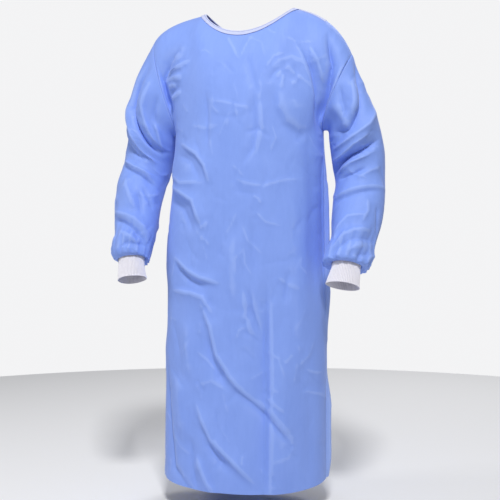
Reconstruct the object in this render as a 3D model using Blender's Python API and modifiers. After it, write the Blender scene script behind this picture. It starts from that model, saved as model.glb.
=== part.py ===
"""Surgical gown, worn and hollow: cloth panels, sleeves, knitted cuffs, neck tape and back ties.

Metres, +Z up. The gown faces -Y and the wearer's left is at +X. The origin is midway between the
shoulder seams' neck ends, where the wearer's shoulders carry the gown, so the hem hangs below it.
Every cloth piece is a grid of points on its middle surface, thickened along its own normals.
"""

import math
from collections import namedtuple

import bmesh
import bpy
import numpy as np

# Cloth and seams
WALL = 0.0014
TAPE_WALL = 0.0010
SEAM_GAP = 0.00045
CORNER_GAP = 0.0008
LAY_GAP = 0.0008
BINDING_GAP = 0.0018
TAB_GAP = 0.0013
CUFF_GAP = 0.0006
STEEPEST_MITRE = 0.20

# Body
SIDE_SEAM_Y = -0.014
UNDERARM_HEIGHT = -0.325
HEM_HEIGHT = -1.226
HEM_DIP_FRONT = 0.016
SECTION_POWER = 0.90

# Shoulders and neck
NECK_HALF_WIDTH = 0.122
NECK_SIDE_Y = 0.0
NECK_FRONT_Y = -0.095
NECK_FRONT_DROP = 0.074
NECK_BACK_Y = 0.090
NECK_BACK_DROP = 0.046
NECK_BACK_POWER = 1.6
NECK_FRONT_POWER = 1.7
NECK_SPREAD = 0.036

# Shoulder seams: where each ends at the armhole, and its handles at the neck and at that end
SHOULDER_SEAM = {
    "left": {"end": (0.275, -0.018, -0.132), "neck_handle": (0.062, -0.015), "end_handle": (-0.0335, 0.080)},
    "right": {"end": (0.266, -0.018, -0.068), "neck_handle": (0.075, -0.012), "end_handle": (-0.025, 0.036)},
}

# Handles of the panels' columns over the chest and the shoulder blades: how far out, and how far up
CHEST_RISE = 0.115
ARMHOLE_CHEST_HANDLE = (0.068, 0.036)
SHOULDER_HANDLE = {"front": (0.092, -0.026), "back": (0.076, 0.022)}
ARMHOLE_TOP_HANDLE = {"front": (0.076, -0.046), "back": (0.078, -0.024)}
ARMHOLE_TOP_LEAN = 0.008
NECK_HANDLE = {"front": (0.036, -0.060), "back": (0.020, -0.060)}
ARMHOLE_SHARPNESS = 7
SPREAD_END = 0.80

# Lap of the back panels at centre back, as parts of the half width
LAP_AT_NECK = 0.14
LAP_AT_WAIST = 0.30
LAP_AT_HEM = 0.32
LAP_DEPTH = 0.0056
LAP_RUN = 0.20

# Counts of cells in the grids
CELLS_ON_SHOULDER = 8
CELLS_ON_FRONT_NECK = 14
CELLS_BESIDE_LAP = 4
CELLS_ON_LAP = 5
CELLS_BELOW_ARM = 22
CELLS_ON_ARMHOLE = 11
CELLS_ALONG_SLEEVE = 24
CELLS_ALONG_CUFF = 3
NECK_SHARE = 0.42

# Neck binding and tapes
BINDING_WIDTH = 0.011
BINDING_RISE = 0.0012
SHOULDER_TAPE_WIDTH = 0.012
SHOULDER_TAPE_FROM = 7.4
SHOULDER_TAPE_TO = 4.2
SHOULDER_TAPE_POINTS = 6
TAB_PLACES = (0.02, -0.20)
TAB_ROWS = (1.830, 1.925)
TAB_STEP = 0.0026
TIE_WIDTH = 0.024
TIE_HEIGHT = -0.430
TIE_START = 0.150
TIE_SAG = 0.014
TIE_OUT = 0.0020
KNOT_SIDE = 0.0175
TAIL_TOP = -0.447
KNOT_SIZE = (0.034, 0.014, 0.027)
KNOT_OUT = 0.0095
KNOT_WAIST = 0.22
KNOT_ROUND = 0.002

# Ties' free ends: where they leave the knot, where they end, and how long they hang
TAIL_LEFT = (0.014, 0.045, 0.300)
TAIL_RIGHT = (-0.014, -0.036, 0.250)

# Cuffs: centres of the top and bottom rings, measured out from the middle, and their half sizes
CUFF = {
    "left": {"top": (0.275, -0.102, -0.664), "bottom": (0.268, -0.126, -0.724),
             "half_top": (0.034, 0.029), "half_bottom": (0.041, 0.031)},
    "right": {"top": (0.300, -0.102, -0.651), "bottom": (0.289, -0.124, -0.713),
              "half_top": (0.034, 0.029), "half_bottom": (0.037, 0.030)},
}
CUFF_INSIDE_SLEEVE = 0.10

# Sections of the body under the arms, from hem to underarm
TORSO = {
    "height": (-1.240, -1.050, -0.850, -0.630, -0.450, -0.325),
    "half_width": (0.217, 0.217, 0.216, 0.213, 0.203, 0.198),
    "front_depth": (0.158, 0.152, 0.147, 0.144, 0.142, 0.139),
    "back_depth": (0.142, 0.136, 0.128, 0.121, 0.118, 0.119),
}

# Below the chest the gown hangs a little towards the wearer's right
LEAN = 0.010
LEAN_START = -0.400
LEAN_RUN = 0.250

# Sections of the sleeves from the armhole to the roll above the cuff, measured out from the middle
SLEEVE = {
    "left": {
        "along": (0.0, 0.10, 0.20, 0.34, 0.46, 0.57, 0.68, 0.77, 0.86, 0.915, 0.96),
        "outer_x": (0.275, 0.299, 0.320, 0.343, 0.354, 0.355, 0.357, 0.353, 0.341, 0.335, 0.331),
        "outer_z": (-0.132, -0.190, -0.245, -0.320, -0.385, -0.448, -0.508, -0.560, -0.612, -0.648, -0.674),
        "inner_x": (0.199, 0.213, 0.214, 0.216, 0.220, 0.229, 0.226, 0.226, 0.228, 0.217, 0.213),
        "inner_z": (-0.325, -0.327, -0.350, -0.385, -0.420, -0.468, -0.518, -0.568, -0.616, -0.646, -0.670),
        "centre_y": (-0.022, -0.018, -0.008, 0.008, 0.017, 0.010, -0.014, -0.038, -0.066, -0.084, -0.097),
        "half_depth": (0.066, 0.071, 0.074, 0.073, 0.069, 0.066, 0.064, 0.062, 0.058, 0.060, 0.056),
    },
    "right": {
        "along": (0.0, 0.10, 0.20, 0.34, 0.46, 0.57, 0.68, 0.77, 0.86, 0.915, 0.96),
        "outer_x": (0.266, 0.302, 0.325, 0.343, 0.354, 0.365, 0.376, 0.373, 0.360, 0.352, 0.351),
        "outer_z": (-0.068, -0.130, -0.188, -0.265, -0.332, -0.398, -0.460, -0.522, -0.582, -0.622, -0.650),
        "inner_x": (0.199, 0.213, 0.216, 0.222, 0.232, 0.243, 0.250, 0.251, 0.250, 0.253, 0.254),
        "inner_z": (-0.325, -0.327, -0.350, -0.380, -0.412, -0.455, -0.508, -0.558, -0.606, -0.634, -0.656),
        "centre_y": (-0.022, -0.018, -0.008, 0.008, 0.017, 0.010, -0.014, -0.038, -0.066, -0.084, -0.097),
        "half_depth": (0.066, 0.071, 0.074, 0.073, 0.069, 0.066, 0.064, 0.062, 0.058, 0.060, 0.056),
    },
}

# Where along the sleeve the armhole's shape ends, where its folds lie, and where it is gathered
ARMHOLE_FADE = 0.36
SLEEVE_FOLDS_START = 0.12
SLEEVE_FOLDS_END = 0.93
SLEEVE_FOLDS_FADE = 0.10
SLEEVE_RADIUS = 0.068
SLEEVE_STEP = 0.02
GATHER_START = 0.80
GATHER_RUN = 0.12
GATHER_DEPTH = 0.0026

# Soft roll of the gathered sleeve over its cuff
ROLL_STEPS = (0.45, 0.85)
ROLL_SEAT = 0.15
ROLL_CLEARANCE = 0.004
ROLL_FULLNESS = 0.012
ROLL_DROP = (0.0, -0.003, -0.008)
SLEEVE_END_SEAT = 0.02

# How far in from a side seam or a top edge the panels' folds die away
SIDE_FADE = 0.12
TOP_FADE = 0.30

Fold = namedtuple("Fold", "from_x from_z to_x to_z half_width height")
SleeveFold = namedtuple("SleeveFold", "from_turn from_along to_turn to_along half_width height")

FRONT_FOLDS = (
    Fold(0.099, -0.745, 0.096, -1.230, 0.020, -0.0105),
    Fold(0.135, -0.900, 0.138, -1.225, 0.028, 0.0090),
    Fold(0.054, -0.735, 0.078, -0.835, 0.018, -0.0070),
    Fold(-0.151, -0.366, -0.069, -0.450, 0.020, 0.0090),
    Fold(-0.180, -0.478, -0.080, -0.568, 0.022, 0.0120),
    Fold(-0.146, -0.655, -0.060, -0.712, 0.020, 0.0105),
    Fold(-0.149, -0.738, -0.050, -0.775, 0.018, 0.0070),
    Fold(-0.064, -0.783, -0.020, -0.905, 0.020, 0.0105),
    Fold(0.000, -0.930, 0.075, -1.020, 0.020, 0.0090),
    Fold(0.075, -1.015, 0.150, -1.112, 0.018, -0.0075),
    Fold(-0.077, -1.030, 0.010, -1.160, 0.022, 0.0105),
    Fold(-0.079, -1.160, -0.040, -1.228, 0.022, 0.0090),
    Fold(0.088, -0.185, 0.150, -0.152, 0.022, 0.0090),
    Fold(0.140, -0.180, 0.158, -0.300, 0.028, 0.0135),
    Fold(0.188, -0.165, 0.190, -0.290, 0.016, -0.0110),
    Fold(0.200, -0.130, 0.205, -0.300, 0.016, -0.0150),
    Fold(-0.215, -0.150, -0.203, -0.270, 0.018, -0.0120),
    Fold(-0.205, -0.165, -0.145, -0.130, 0.018, 0.0075),
    Fold(0.170, -0.440, 0.188, -0.850, 0.024, -0.0105),
    Fold(0.138, -0.500, 0.150, -0.850, 0.028, 0.0060),
)

BACK_FOLDS = (
    Fold(0.212, -0.420, 0.214, -0.830, 0.024, 0.0092),
    Fold(0.212, -0.980, 0.216, -1.220, 0.024, 0.0092),
    Fold(-0.208, -0.430, -0.212, -0.760, 0.024, 0.0069),
    Fold(-0.212, -0.800, -0.216, -1.220, 0.026, 0.0092),
    Fold(0.165, -0.290, 0.125, -0.380, 0.022, 0.0092),
    Fold(-0.165, -0.280, -0.125, -0.380, 0.022, 0.0092),
    Fold(0.120, -0.500, 0.140, -0.900, 0.024, -0.0080),
    Fold(0.060, -0.700, 0.062, -1.225, 0.030, 0.0092),
    Fold(-0.120, -0.560, -0.130, -1.225, 0.024, 0.0092),
    Fold(-0.020, -0.760, -0.022, -1.225, 0.028, -0.0080),
    Fold(-0.150, -0.640, -0.165, -1.050, 0.022, -0.0069),
    Fold(0.150, -0.960, 0.130, -1.225, 0.024, 0.0080),
)

SLEEVE_FOLDS = {
    "left": (
        SleeveFold(-22.0, 0.14, -62.0, 0.23, 0.020, -0.0110),
        SleeveFold(-66.0, 0.24, -130.0, 0.27, 0.020, -0.0090),
        SleeveFold(-50.0, 0.42, -145.0, 0.49, 0.022, -0.0090),
        SleeveFold(-80.0, 0.31, -145.0, 0.38, 0.022, 0.0090),
        SleeveFold(-20.0, 0.64, -140.0, 0.67, 0.020, 0.0081),
        SleeveFold(-35.0, 0.70, -120.0, 0.78, 0.020, -0.0068),
        SleeveFold(-110.0, 0.10, -95.0, 0.34, 0.024, 0.0108),
        SleeveFold(60.0, 0.20, 100.0, 0.44, 0.022, 0.0095),
        SleeveFold(40.0, 0.50, 120.0, 0.58, 0.022, -0.0095),
        SleeveFold(70.0, 0.66, 150.0, 0.76, 0.020, 0.0081),
    ),
    "right": (
        SleeveFold(-35.0, 0.14, -80.0, 0.38, 0.022, -0.0121),
        SleeveFold(-95.0, 0.16, -120.0, 0.36, 0.020, 0.0095),
        SleeveFold(-50.0, 0.38, -110.0, 0.46, 0.020, 0.0081),
        SleeveFold(-30.0, 0.50, -110.0, 0.56, 0.020, -0.0095),
        SleeveFold(-20.0, 0.70, -130.0, 0.80, 0.020, -0.0108),
        SleeveFold(-60.0, 0.76, -140.0, 0.84, 0.018, 0.0081),
        SleeveFold(-100.0, 0.50, -150.0, 0.66, 0.022, 0.0081),
        SleeveFold(55.0, 0.24, 95.0, 0.48, 0.022, 0.0095),
        SleeveFold(35.0, 0.52, 115.0, 0.60, 0.022, -0.0095),
        SleeveFold(75.0, 0.68, 150.0, 0.78, 0.020, 0.0081),
    ),
}

# Finishes: colour, roughness, metallic
FRONT_BLUE = (0.24, 0.38, 0.86, 1.0)
BACK_BLUE = (0.33, 0.48, 0.92, 1.0)
WHITE_TAPE = (0.72, 0.74, 0.90, 1.0)
WHITE_KNIT = (0.80, 0.80, 0.86, 1.0)
SHARP_EDGE = math.radians(50.0)
CLOTH_ROUGHNESS = 0.72
TAPE_ROUGHNESS = 0.80


def ease(share):
    """Rises smoothly from 0 to 1 while share goes from 0 to 1."""
    share = np.clip(share, 0.0, 1.0)
    return share * share * (3.0 - 2.0 * share)


def through(places, values, at):
    """A smooth curve through a table's column, with the slope at a row taken from its neighbours."""
    places = np.asarray(places)
    values = np.asarray(values)
    slopes = np.gradient(values, places)
    at = np.clip(at, places[0], places[-1])
    cell = np.clip(np.searchsorted(places, at, side="right") - 1, 0, len(places) - 2)
    width = places[cell + 1] - places[cell]
    t = (at - places[cell]) / width
    start = (1.0 + 2.0 * t) * (1.0 - t) ** 2 * values[cell]
    end = t * t * (3.0 - 2.0 * t) * values[cell + 1]
    bends = width * t * (1.0 - t) * ((1.0 - t) * slopes[cell] - t * slopes[cell + 1])
    return start + end + bends


def unit(vectors):
    """Vectors of length 1 in the same directions."""
    lengths = np.linalg.norm(vectors, axis=-1, keepdims=True)
    return vectors / np.maximum(lengths, 1e-12)


def bezier(first, handle_first, handle_last, last, t):
    """Points of a cubic curve from first to last, with its two handles as offsets from its ends."""
    a = (1.0 - t) ** 3
    b = 3.0 * (1.0 - t) ** 2 * t
    c = 3.0 * (1.0 - t) * t * t
    d = t ** 3
    return a * first + b * (first + handle_first) + c * (last + handle_last) + d * last


def fold_height(folds, x, z):
    """How far a row of folds lifts the cloth at x, z: each is a soft ridge or trough that tapers."""
    lift = np.zeros_like(x)
    for fold in folds:
        run_x = fold.to_x - fold.from_x
        run_z = fold.to_z - fold.from_z
        length = math.hypot(run_x, run_z)
        along = ((x - fold.from_x) * run_x + (z - fold.from_z) * run_z) / length ** 2
        off = ((x - fold.from_x) * run_z - (z - fold.from_z) * run_x) / length
        taper = ease((along + 0.15) / 0.35) * ease((1.15 - along) / 0.35)
        lift += fold.height * taper * np.exp(-(off / fold.half_width) ** 2)
    return lift


def front_columns():
    """Places of the front's columns from the wearer's left side at 1 to the right side at -1."""
    shoulder = np.linspace(1.0, NECK_SHARE, CELLS_ON_SHOULDER + 1)
    neck = np.linspace(NECK_SHARE, -NECK_SHARE, CELLS_ON_FRONT_NECK + 1)[1:-1]
    return np.concatenate([shoulder, neck, -shoulder[::-1]])


def torso_ring(place, height, back):
    """A point of the body's section at a height: place runs from -1 to 1 round its front or back."""
    half_width = through(TORSO["height"], TORSO["half_width"], height)
    depth = through(TORSO["height"], TORSO["back_depth" if back else "front_depth"], height)
    turn = place * math.pi / 2.0
    x = half_width * np.sign(place) * np.abs(np.sin(turn)) ** SECTION_POWER
    y = depth * np.abs(np.cos(turn)) ** SECTION_POWER
    y = SIDE_SEAM_Y + (y if back else -y)
    return np.stack([x, y, height + 0.0 * place], axis=-1)


def neck_edge(place, back):
    """A point of the neckline: place 0 is its middle, NECK_SHARE the shoulder seam's neck end."""
    turn = place / NECK_SHARE * math.pi / 2.0
    middle_y = NECK_BACK_Y if back else NECK_FRONT_Y
    drop = NECK_BACK_DROP if back else NECK_FRONT_DROP
    fall = np.abs(np.cos(turn))
    x = NECK_HALF_WIDTH * np.sin(turn)
    y = NECK_SIDE_Y + (middle_y - NECK_SIDE_Y) * fall
    z = -drop * fall ** (NECK_BACK_POWER if back else NECK_FRONT_POWER)
    return np.stack([x, y, z], axis=-1)


def shoulder_edge(place):
    """A point of the shoulder seam, from the neck at NECK_SHARE to the armhole at 1."""
    t = ((np.abs(place) - NECK_SHARE) / (1.0 - NECK_SHARE))[..., None]
    neck = np.array([NECK_HALF_WIDTH, NECK_SIDE_Y, 0.0])
    seams = {}
    for side, seam in SHOULDER_SEAM.items():
        neck_handle = np.array([seam["neck_handle"][0], 0.0, seam["neck_handle"][1]])
        end_handle = np.array([seam["end_handle"][0], 0.0, seam["end_handle"][1]])
        seams[side] = bezier(neck, neck_handle, end_handle, np.array(seam["end"]), np.clip(t, 0.0, 1.0))
    points = np.where((place > 0.0)[..., None], seams["left"], seams["right"])
    points[..., 0] *= np.sign(place)
    return points


def top_edge(place, back):
    """A panel's top edge: the neckline in the middle and a shoulder seam on each side."""
    on_neck = (np.abs(place) < NECK_SHARE)[..., None]
    return np.where(on_neck, neck_edge(place, back), shoulder_edge(place))


def panel_handles(place, back):
    """Handles of a column over the chest or the shoulder blade: up from it, and down from the top."""
    part = "back" if back else "front"
    away = 1.0 if back else -1.0
    side = np.sign(place)
    at_armhole = (np.abs(place) ** ARMHOLE_SHARPNESS)[..., None]
    at_neck = ease(1.0 - np.abs(place) / NECK_SHARE)[..., None]

    def handle(sideways, out_and_up):
        out, rise = out_and_up
        return np.stack([sideways + 0.0 * place, away * out + 0.0 * place, rise + 0.0 * place], axis=-1)

    inside = np.sin(np.clip(np.abs(place) / NECK_SHARE, 0.0, 1.0) * math.pi / 2.0)
    spread = inside * ease((SPREAD_END - np.abs(place)) / (SPREAD_END - NECK_SHARE))
    up = handle(0.0, (0.0, CHEST_RISE))
    up_armhole = handle(0.0, ARMHOLE_CHEST_HANDLE)
    over = handle(0.0, SHOULDER_HANDLE[part])
    over_armhole = handle(-ARMHOLE_TOP_LEAN * side, ARMHOLE_TOP_HANDLE[part])
    first = up * (1.0 - at_armhole) + up_armhole * at_armhole
    last = over * (1.0 - at_armhole) + over_armhole * at_armhole
    last = last * (1.0 - at_neck) + handle(0.0, NECK_HANDLE[part]) * at_neck
    last[..., 0] += side * NECK_SPREAD * spread
    return first, last


def body_surface(place, row, back):
    """Middle surface of the front or back: row runs from 0 at the hem to 1 underarm to 2 on top."""
    dip = 0.0 if back else HEM_DIP_FRONT * np.cos(place * math.pi / 2.0)
    hem = HEM_HEIGHT - dip
    height = hem + (UNDERARM_HEIGHT - hem) * np.clip(row, 0.0, 1.0)
    below = torso_ring(place, height, back)
    chest = torso_ring(place, UNDERARM_HEIGHT + 0.0 * place, back)
    first, last = panel_handles(place, back)
    t = np.clip(row - 1.0, 0.0, 1.0)[..., None]
    above = bezier(chest, first, last, top_edge(place, back), t)
    return np.where((row > 1.0)[..., None], above, below)


def grid_normals(points, closed=False):
    """Outward normals of a grid of points, whose rows go up and whose columns go to the wearer's right."""
    up = np.gradient(points, axis=0)
    if closed:
        wrapped = np.concatenate([points[:, -2:-1], points, points[:, 1:2]], axis=1)
        across = np.gradient(wrapped, axis=1)[:, 1:-1]
    else:
        across = np.gradient(points, axis=1)
    return unit(np.cross(up, across))


class Cloth:
    """A cloth piece: its name, the points of its middle surface, their normals and half thickness."""

    def __init__(self, name, points, flip=False, closed=False, wall=WALL):
        self.name = name
        self.points = points
        self.closed = closed
        self.wall = wall
        self.normals = grid_normals(points, closed) * (-1.0 if flip else 1.0)
        self.lift = self.normals * wall / 2.0

    def settle(self, flip=False):
        """Works the normals out again once the points have moved."""
        self.normals = grid_normals(self.points, self.closed) * (-1.0 if flip else 1.0)
        self.lift = self.normals * self.wall / 2.0


def body_rows():
    """Rows of a body panel from hem to top."""
    below = np.linspace(0.0, 1.0, CELLS_BELOW_ARM + 1)
    above = np.linspace(1.0, 2.0, CELLS_ON_ARMHOLE + 1)[1:]
    return np.concatenate([below, above])


def edge_fade(place, row):
    """Lets folds die away towards the side seam, the armhole and the top edge."""
    side = ease((1.0 - np.abs(place)) / SIDE_FADE)
    top = ease((2.0 - row) / TOP_FADE)
    return side * top


def front_panel():
    """The front, from side seam to side seam."""
    place, row = np.meshgrid(front_columns(), body_rows())
    piece = Cloth("front", body_surface(place, row, back=False))
    lift = fold_height(FRONT_FOLDS, piece.points[..., 0], piece.points[..., 2])
    piece.points = piece.points + piece.normals * (lift * edge_fade(place, row))[..., None]
    piece.settle()
    return piece


def lap_width(row):
    """How far a back panel reaches past centre back at a row, as a part of the half width."""
    waist = ease(row / 1.0)
    low = LAP_AT_HEM + (LAP_AT_WAIST - LAP_AT_HEM) * waist
    return low + (LAP_AT_NECK - low) * ease(row - 1.0)


def back_row(side, lap):
    """Places of a back panel's columns on a row: both panels share those on the lap."""
    shoulder = np.linspace(1.0, NECK_SHARE, CELLS_ON_SHOULDER + 1)
    beside = np.linspace(NECK_SHARE, lap, CELLS_BESIDE_LAP + 1)[1:]
    over = np.linspace(lap, -lap, CELLS_ON_LAP + 1)[1:]
    return side * np.concatenate([shoulder, beside, over])


def back_points(side, place, row):
    """Middle surface of a back panel with its folds; the right one steps in under the left one."""
    points = body_surface(place, row, back=True)
    normals = grid_normals(points) * (-1.0 if side > 0 else 1.0)
    lift = fold_height(BACK_FOLDS, points[..., 0], points[..., 2]) * edge_fade(place, row)
    if side < 0:
        reach = lap_width(row)
        lift = lift - LAP_DEPTH * ease((place + reach + LAP_RUN) / LAP_RUN)
    return points + normals * lift[..., None]


def back_panel(name, side):
    """A back panel from its side seam past centre back; side is 1 for the wearer's left."""
    rows = body_rows()
    place = np.array([back_row(side, lap) for lap in lap_width(rows)])
    row = np.broadcast_to(rows[:, None], place.shape)
    return Cloth(name, back_points(side, place, row), flip=side > 0)


def sleeve_ring(side, turn, along):
    """A point of a sleeve, measured out from the middle, before its armhole shape and folds."""
    table = SLEEVE[side]

    def read(at):
        return {name: through(table["along"], table[name], at) for name in table if name != "along"}

    column = read(along)
    ahead = read(along + SLEEVE_STEP)
    behind = read(along - SLEEVE_STEP)

    def middle(part):
        x = (part["outer_x"] + part["inner_x"]) / 2.0
        z = (part["outer_z"] + part["inner_z"]) / 2.0
        return np.stack([x, part["centre_y"], z], axis=-1)

    half_x = (column["outer_x"] - column["inner_x"]) / 2.0
    half_z = (column["outer_z"] - column["inner_z"]) / 2.0
    wide = np.stack([half_x, 0.0 * half_x, half_z], axis=-1)
    deep = unit(np.cross(middle(ahead) - middle(behind), wide))
    deep = deep * np.sign(deep[..., 1:2]) * column["half_depth"][..., None]
    return middle(column) + wide * np.cos(turn)[..., None] + deep * np.sin(turn)[..., None]


def armhole_loop(front, back, front_column):
    """An armhole's points, measured out from the middle: underarm, up the front, down the back."""
    up_front = front.points[CELLS_BELOW_ARM:, front_column]
    down_back = back.points[CELLS_BELOW_ARM:, 0][::-1]
    loop = np.concatenate([up_front, down_back[1:]])
    return np.abs(loop) * np.array([1.0, 0.0, 0.0]) + loop * np.array([0.0, 1.0, 1.0])


def cuff_ring(side, share, clearance, turn):
    """A ring of points round a cuff, share 0 at its top and 1 at its bottom edge."""
    sizes = {name: np.array(values) for name, values in CUFF[side].items()}
    top, bottom = sizes["top"], sizes["bottom"]
    axis = unit(bottom - top)
    wide = unit(np.array([1.0, 0.0, 0.0]) - axis * axis[0])
    deep = np.cross(axis, wide)
    deep = deep * np.sign(deep[1])
    half = sizes["half_top"] + (sizes["half_bottom"] - sizes["half_top"]) * max(share, 0.0)
    centre = top + (bottom - top) * share
    reach_wide = (half[0] + clearance) * np.cos(turn)[..., None] * wide
    return centre + reach_wide + (half[1] + clearance) * np.sin(turn)[..., None] * deep


def sleeve_fold_height(folds, turn, along, points):
    """How far the folds lift the sleeve; they run in degrees round the arm and in shares along it."""
    length = np.linalg.norm(np.diff(points.mean(axis=1), axis=0), axis=-1).sum()
    x = np.broadcast_to(turn * SLEEVE_RADIUS, along.shape)
    z = along * length
    lift = np.zeros_like(x)
    for fold in folds:
        plain = Fold(math.radians(fold.from_turn) * SLEEVE_RADIUS, fold.from_along * length,
                     math.radians(fold.to_turn) * SLEEVE_RADIUS, fold.to_along * length,
                     fold.half_width, fold.height)
        lift += fold_height((plain,), x, z)
    return lift


def sleeve(name, side, armhole):
    """A sleeve, measured out from the middle: rings from the armhole to the gathered wrist."""
    columns = 2 * CELLS_ON_ARMHOLE
    rows = CELLS_ALONG_SLEEVE - 3
    angle = np.linspace(-math.pi, math.pi, columns + 1)
    share = np.linspace(0.0, SLEEVE[side]["along"][-1], rows + 1)
    turn, along = np.meshgrid(angle, share)
    points = sleeve_ring(side, turn, along)
    points = points + (armhole - points[0]) * (1.0 - ease(along / ARMHOLE_FADE))[..., None]
    plain = Cloth(name, points, closed=True)
    lift = sleeve_fold_height(SLEEVE_FOLDS[side], turn, along, points)
    lift = lift * ease(along / SLEEVE_FOLDS_START) * ease((SLEEVE_FOLDS_END - along) / SLEEVE_FOLDS_FADE)
    gather = np.where(np.arange(columns + 1) % 2 == 0, 1.0, -1.0) * GATHER_DEPTH
    lift = lift + gather * ease((along - GATHER_START) / GATHER_RUN)
    points = points + plain.normals * lift[..., None]
    rolled = [roll_ring(side, angle, points[-1], step, gather) for step in ROLL_STEPS]
    end = cuff_ring(side, SLEEVE_END_SEAT, WALL + CUFF_GAP, angle)
    return Cloth(name, np.concatenate([points, np.array(rolled), end[None]]), closed=True)


def roll_ring(side, angle, last, step, gather):
    """A ring of the soft roll where the gathered sleeve turns in to its cuff."""
    cuff = cuff_ring(side, ROLL_SEAT, ROLL_CLEARANCE + ROLL_FULLNESS * (1.0 - step), angle)
    drop = np.array(ROLL_DROP) * math.sin(step * math.pi * 0.5)
    ring = last * (1.0 - step) + cuff * step + drop * (1.0 - step)
    outward = unit(ring - ring.mean(axis=0))
    return ring + outward * (gather * (1.0 - step))[..., None]


def cuff(name, side):
    """A knitted cuff: a short tube that starts inside the sleeve's end."""
    angle = np.linspace(-math.pi, math.pi, 2 * CELLS_ON_ARMHOLE + 1)
    shares = np.linspace(-CUFF_INSIDE_SLEEVE, 1.0, CELLS_ALONG_CUFF + 1)
    rings = np.array([cuff_ring(side, share, 0.0, angle) for share in shares])
    return Cloth(name, rings, closed=True)


def mirror(piece):
    """Moves a piece to the wearer's other side."""
    piece.points = piece.points * np.array([-1.0, 1.0, 1.0])
    piece.normals = piece.normals * np.array([-1.0, 1.0, 1.0])
    piece.lift = piece.lift * np.array([-1.0, 1.0, 1.0])
    return piece


def join_edges(first, first_edge, second, second_edge):
    """Mitres two edges that share their points, and leaves the seam's gap between them."""
    ahead = second.points[second_edge].copy()
    seam = (first.points[first_edge] + ahead) / 2.0
    normal = unit(first.normals[first_edge] + second.normals[second_edge])
    lean = np.sum(normal * first.normals[first_edge], axis=-1, keepdims=True)
    lift = normal * WALL / 2.0 / np.maximum(lean, STEEPEST_MITRE)
    apart = unit(np.cross(np.gradient(seam, axis=0), normal))
    towards = neighbour(second, second_edge) - neighbour(first, first_edge)
    apart = apart * np.sign(np.sum(apart * towards, axis=-1, keepdims=True))
    first.points[first_edge] = seam - apart * SEAM_GAP / 2.0
    second.points[second_edge] = seam + apart * SEAM_GAP / 2.0
    first.lift[first_edge] = lift
    second.lift[second_edge] = lift


def neighbour(piece, edge):
    """The points one step in from an edge, which is given as a pair of indices."""
    rows, columns = edge
    last_row = piece.points.shape[0] - 1
    last_column = piece.points.shape[1] - 1
    if isinstance(rows, int):
        return piece.points[1 if rows == 0 else last_row - 1, columns]
    return piece.points[rows, 1 if columns == 0 else last_column - 1]


def join_corner(corners):
    """Brings front, back and sleeve, which meet at a point, to one mitre, each a little way in."""
    front, back, arm = (piece.normals[at] for piece, at, inner in corners)
    normal = unit(unit(front + back) + arm)
    for piece, at, inner in corners:
        lean = max(float(np.dot(normal, piece.normals[at])), STEEPEST_MITRE)
        piece.lift[at] = normal * WALL / 2.0 / lean
        inward = piece.points[inner] - piece.points[at]
        piece.points[at] = piece.points[at] + unit(inward) * CORNER_GAP


def wrap(piece):
    """Gives a tube's last column its first column's points."""
    piece.points[:, -1] = piece.points[:, 0]
    piece.lift[:, -1] = piece.lift[:, 0]


def join_side(front, back, sleeve_piece, front_column, front_step):
    """Joins front, back and sleeve on one side: side seam, shoulder seam, armhole and its corners."""
    top = front.points.shape[0] - 1
    arm = CELLS_BELOW_ARM
    half = CELLS_ON_ARMHOLE
    shoulder_back = slice(0, CELLS_ON_SHOULDER + 1)
    shoulder_end = front_column + front_step * (CELLS_ON_SHOULDER + 1)
    shoulder_front = slice(front_column, shoulder_end, front_step)
    join_edges(front, (slice(0, arm), front_column), back, (slice(0, arm), 0))
    join_edges(front, (top, shoulder_front), back, (top, shoulder_back))
    corner_points = (front.points[top, front_column].copy(), front.points[arm, front_column].copy())
    upper = slice(arm + 1, top)
    join_edges(front, (upper, front_column), sleeve_piece, (0, slice(1, half)))
    join_edges(back, (upper, 0), sleeve_piece, (0, slice(2 * half - 1, half, -1)))
    for piece, at in ((front, (top, front_column)), (back, (top, 0)), (sleeve_piece, (0, half))):
        piece.points[at] = corner_points[0]
    for piece, at in ((front, (arm, front_column)), (back, (arm, 0)), (sleeve_piece, (0, 0))):
        piece.points[at] = corner_points[1]
    inner_column = front_column + front_step
    join_corner(((front, (top, front_column), (top - 1, inner_column)),
                 (back, (top, 0), (top - 1, 1)),
                 (sleeve_piece, (0, half), (1, half))))
    join_corner(((front, (arm, front_column), (arm, inner_column)),
                 (back, (arm, 0), (arm, 1)),
                 (sleeve_piece, (0, 0), (1, 0))))
    wrap(sleeve_piece)


def strip(name, path, ways, widths, normals, out):
    """A tape along a path: its rows of points lie at widths along their ways, and out from there."""
    rows = [path + way * width + normals * out for way, width in zip(ways, widths)]
    return Cloth(name, np.array(rows), wall=TAPE_WALL)


def facing(piece, normals):
    """Turns a tape's wall the way that the cloth under it faces."""
    along = np.sum(piece.normals[0] * normals, axis=-1).mean()
    if along < 0.0:
        piece.normals = -piece.normals
        piece.lift = -piece.lift
    return piece


def neck_run(piece, columns):
    """A stretch of a panel's neckline: its points, the ways down its columns and its normals."""
    top = piece.points.shape[0] - 1
    path = piece.points[top, columns]
    down = unit(piece.points[top - 1, columns] - path)
    along = unit(np.gradient(path, axis=0))
    slant = np.sqrt(1.0 - np.sum(down * along, axis=-1, keepdims=True) ** 2)
    return path, down / np.maximum(slant, 0.5), unit(piece.lift[top, columns])


def neck_seam_run(front, column, step):
    """The shoulder seam's neck end as a run of one point, whose way is out along the seam."""
    top = front.points.shape[0] - 1
    path = front.points[top, column]
    way = unit(front.points[top, column + step] - path)
    return path[None], way[None], unit(front.lift[top, column])[None]


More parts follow.
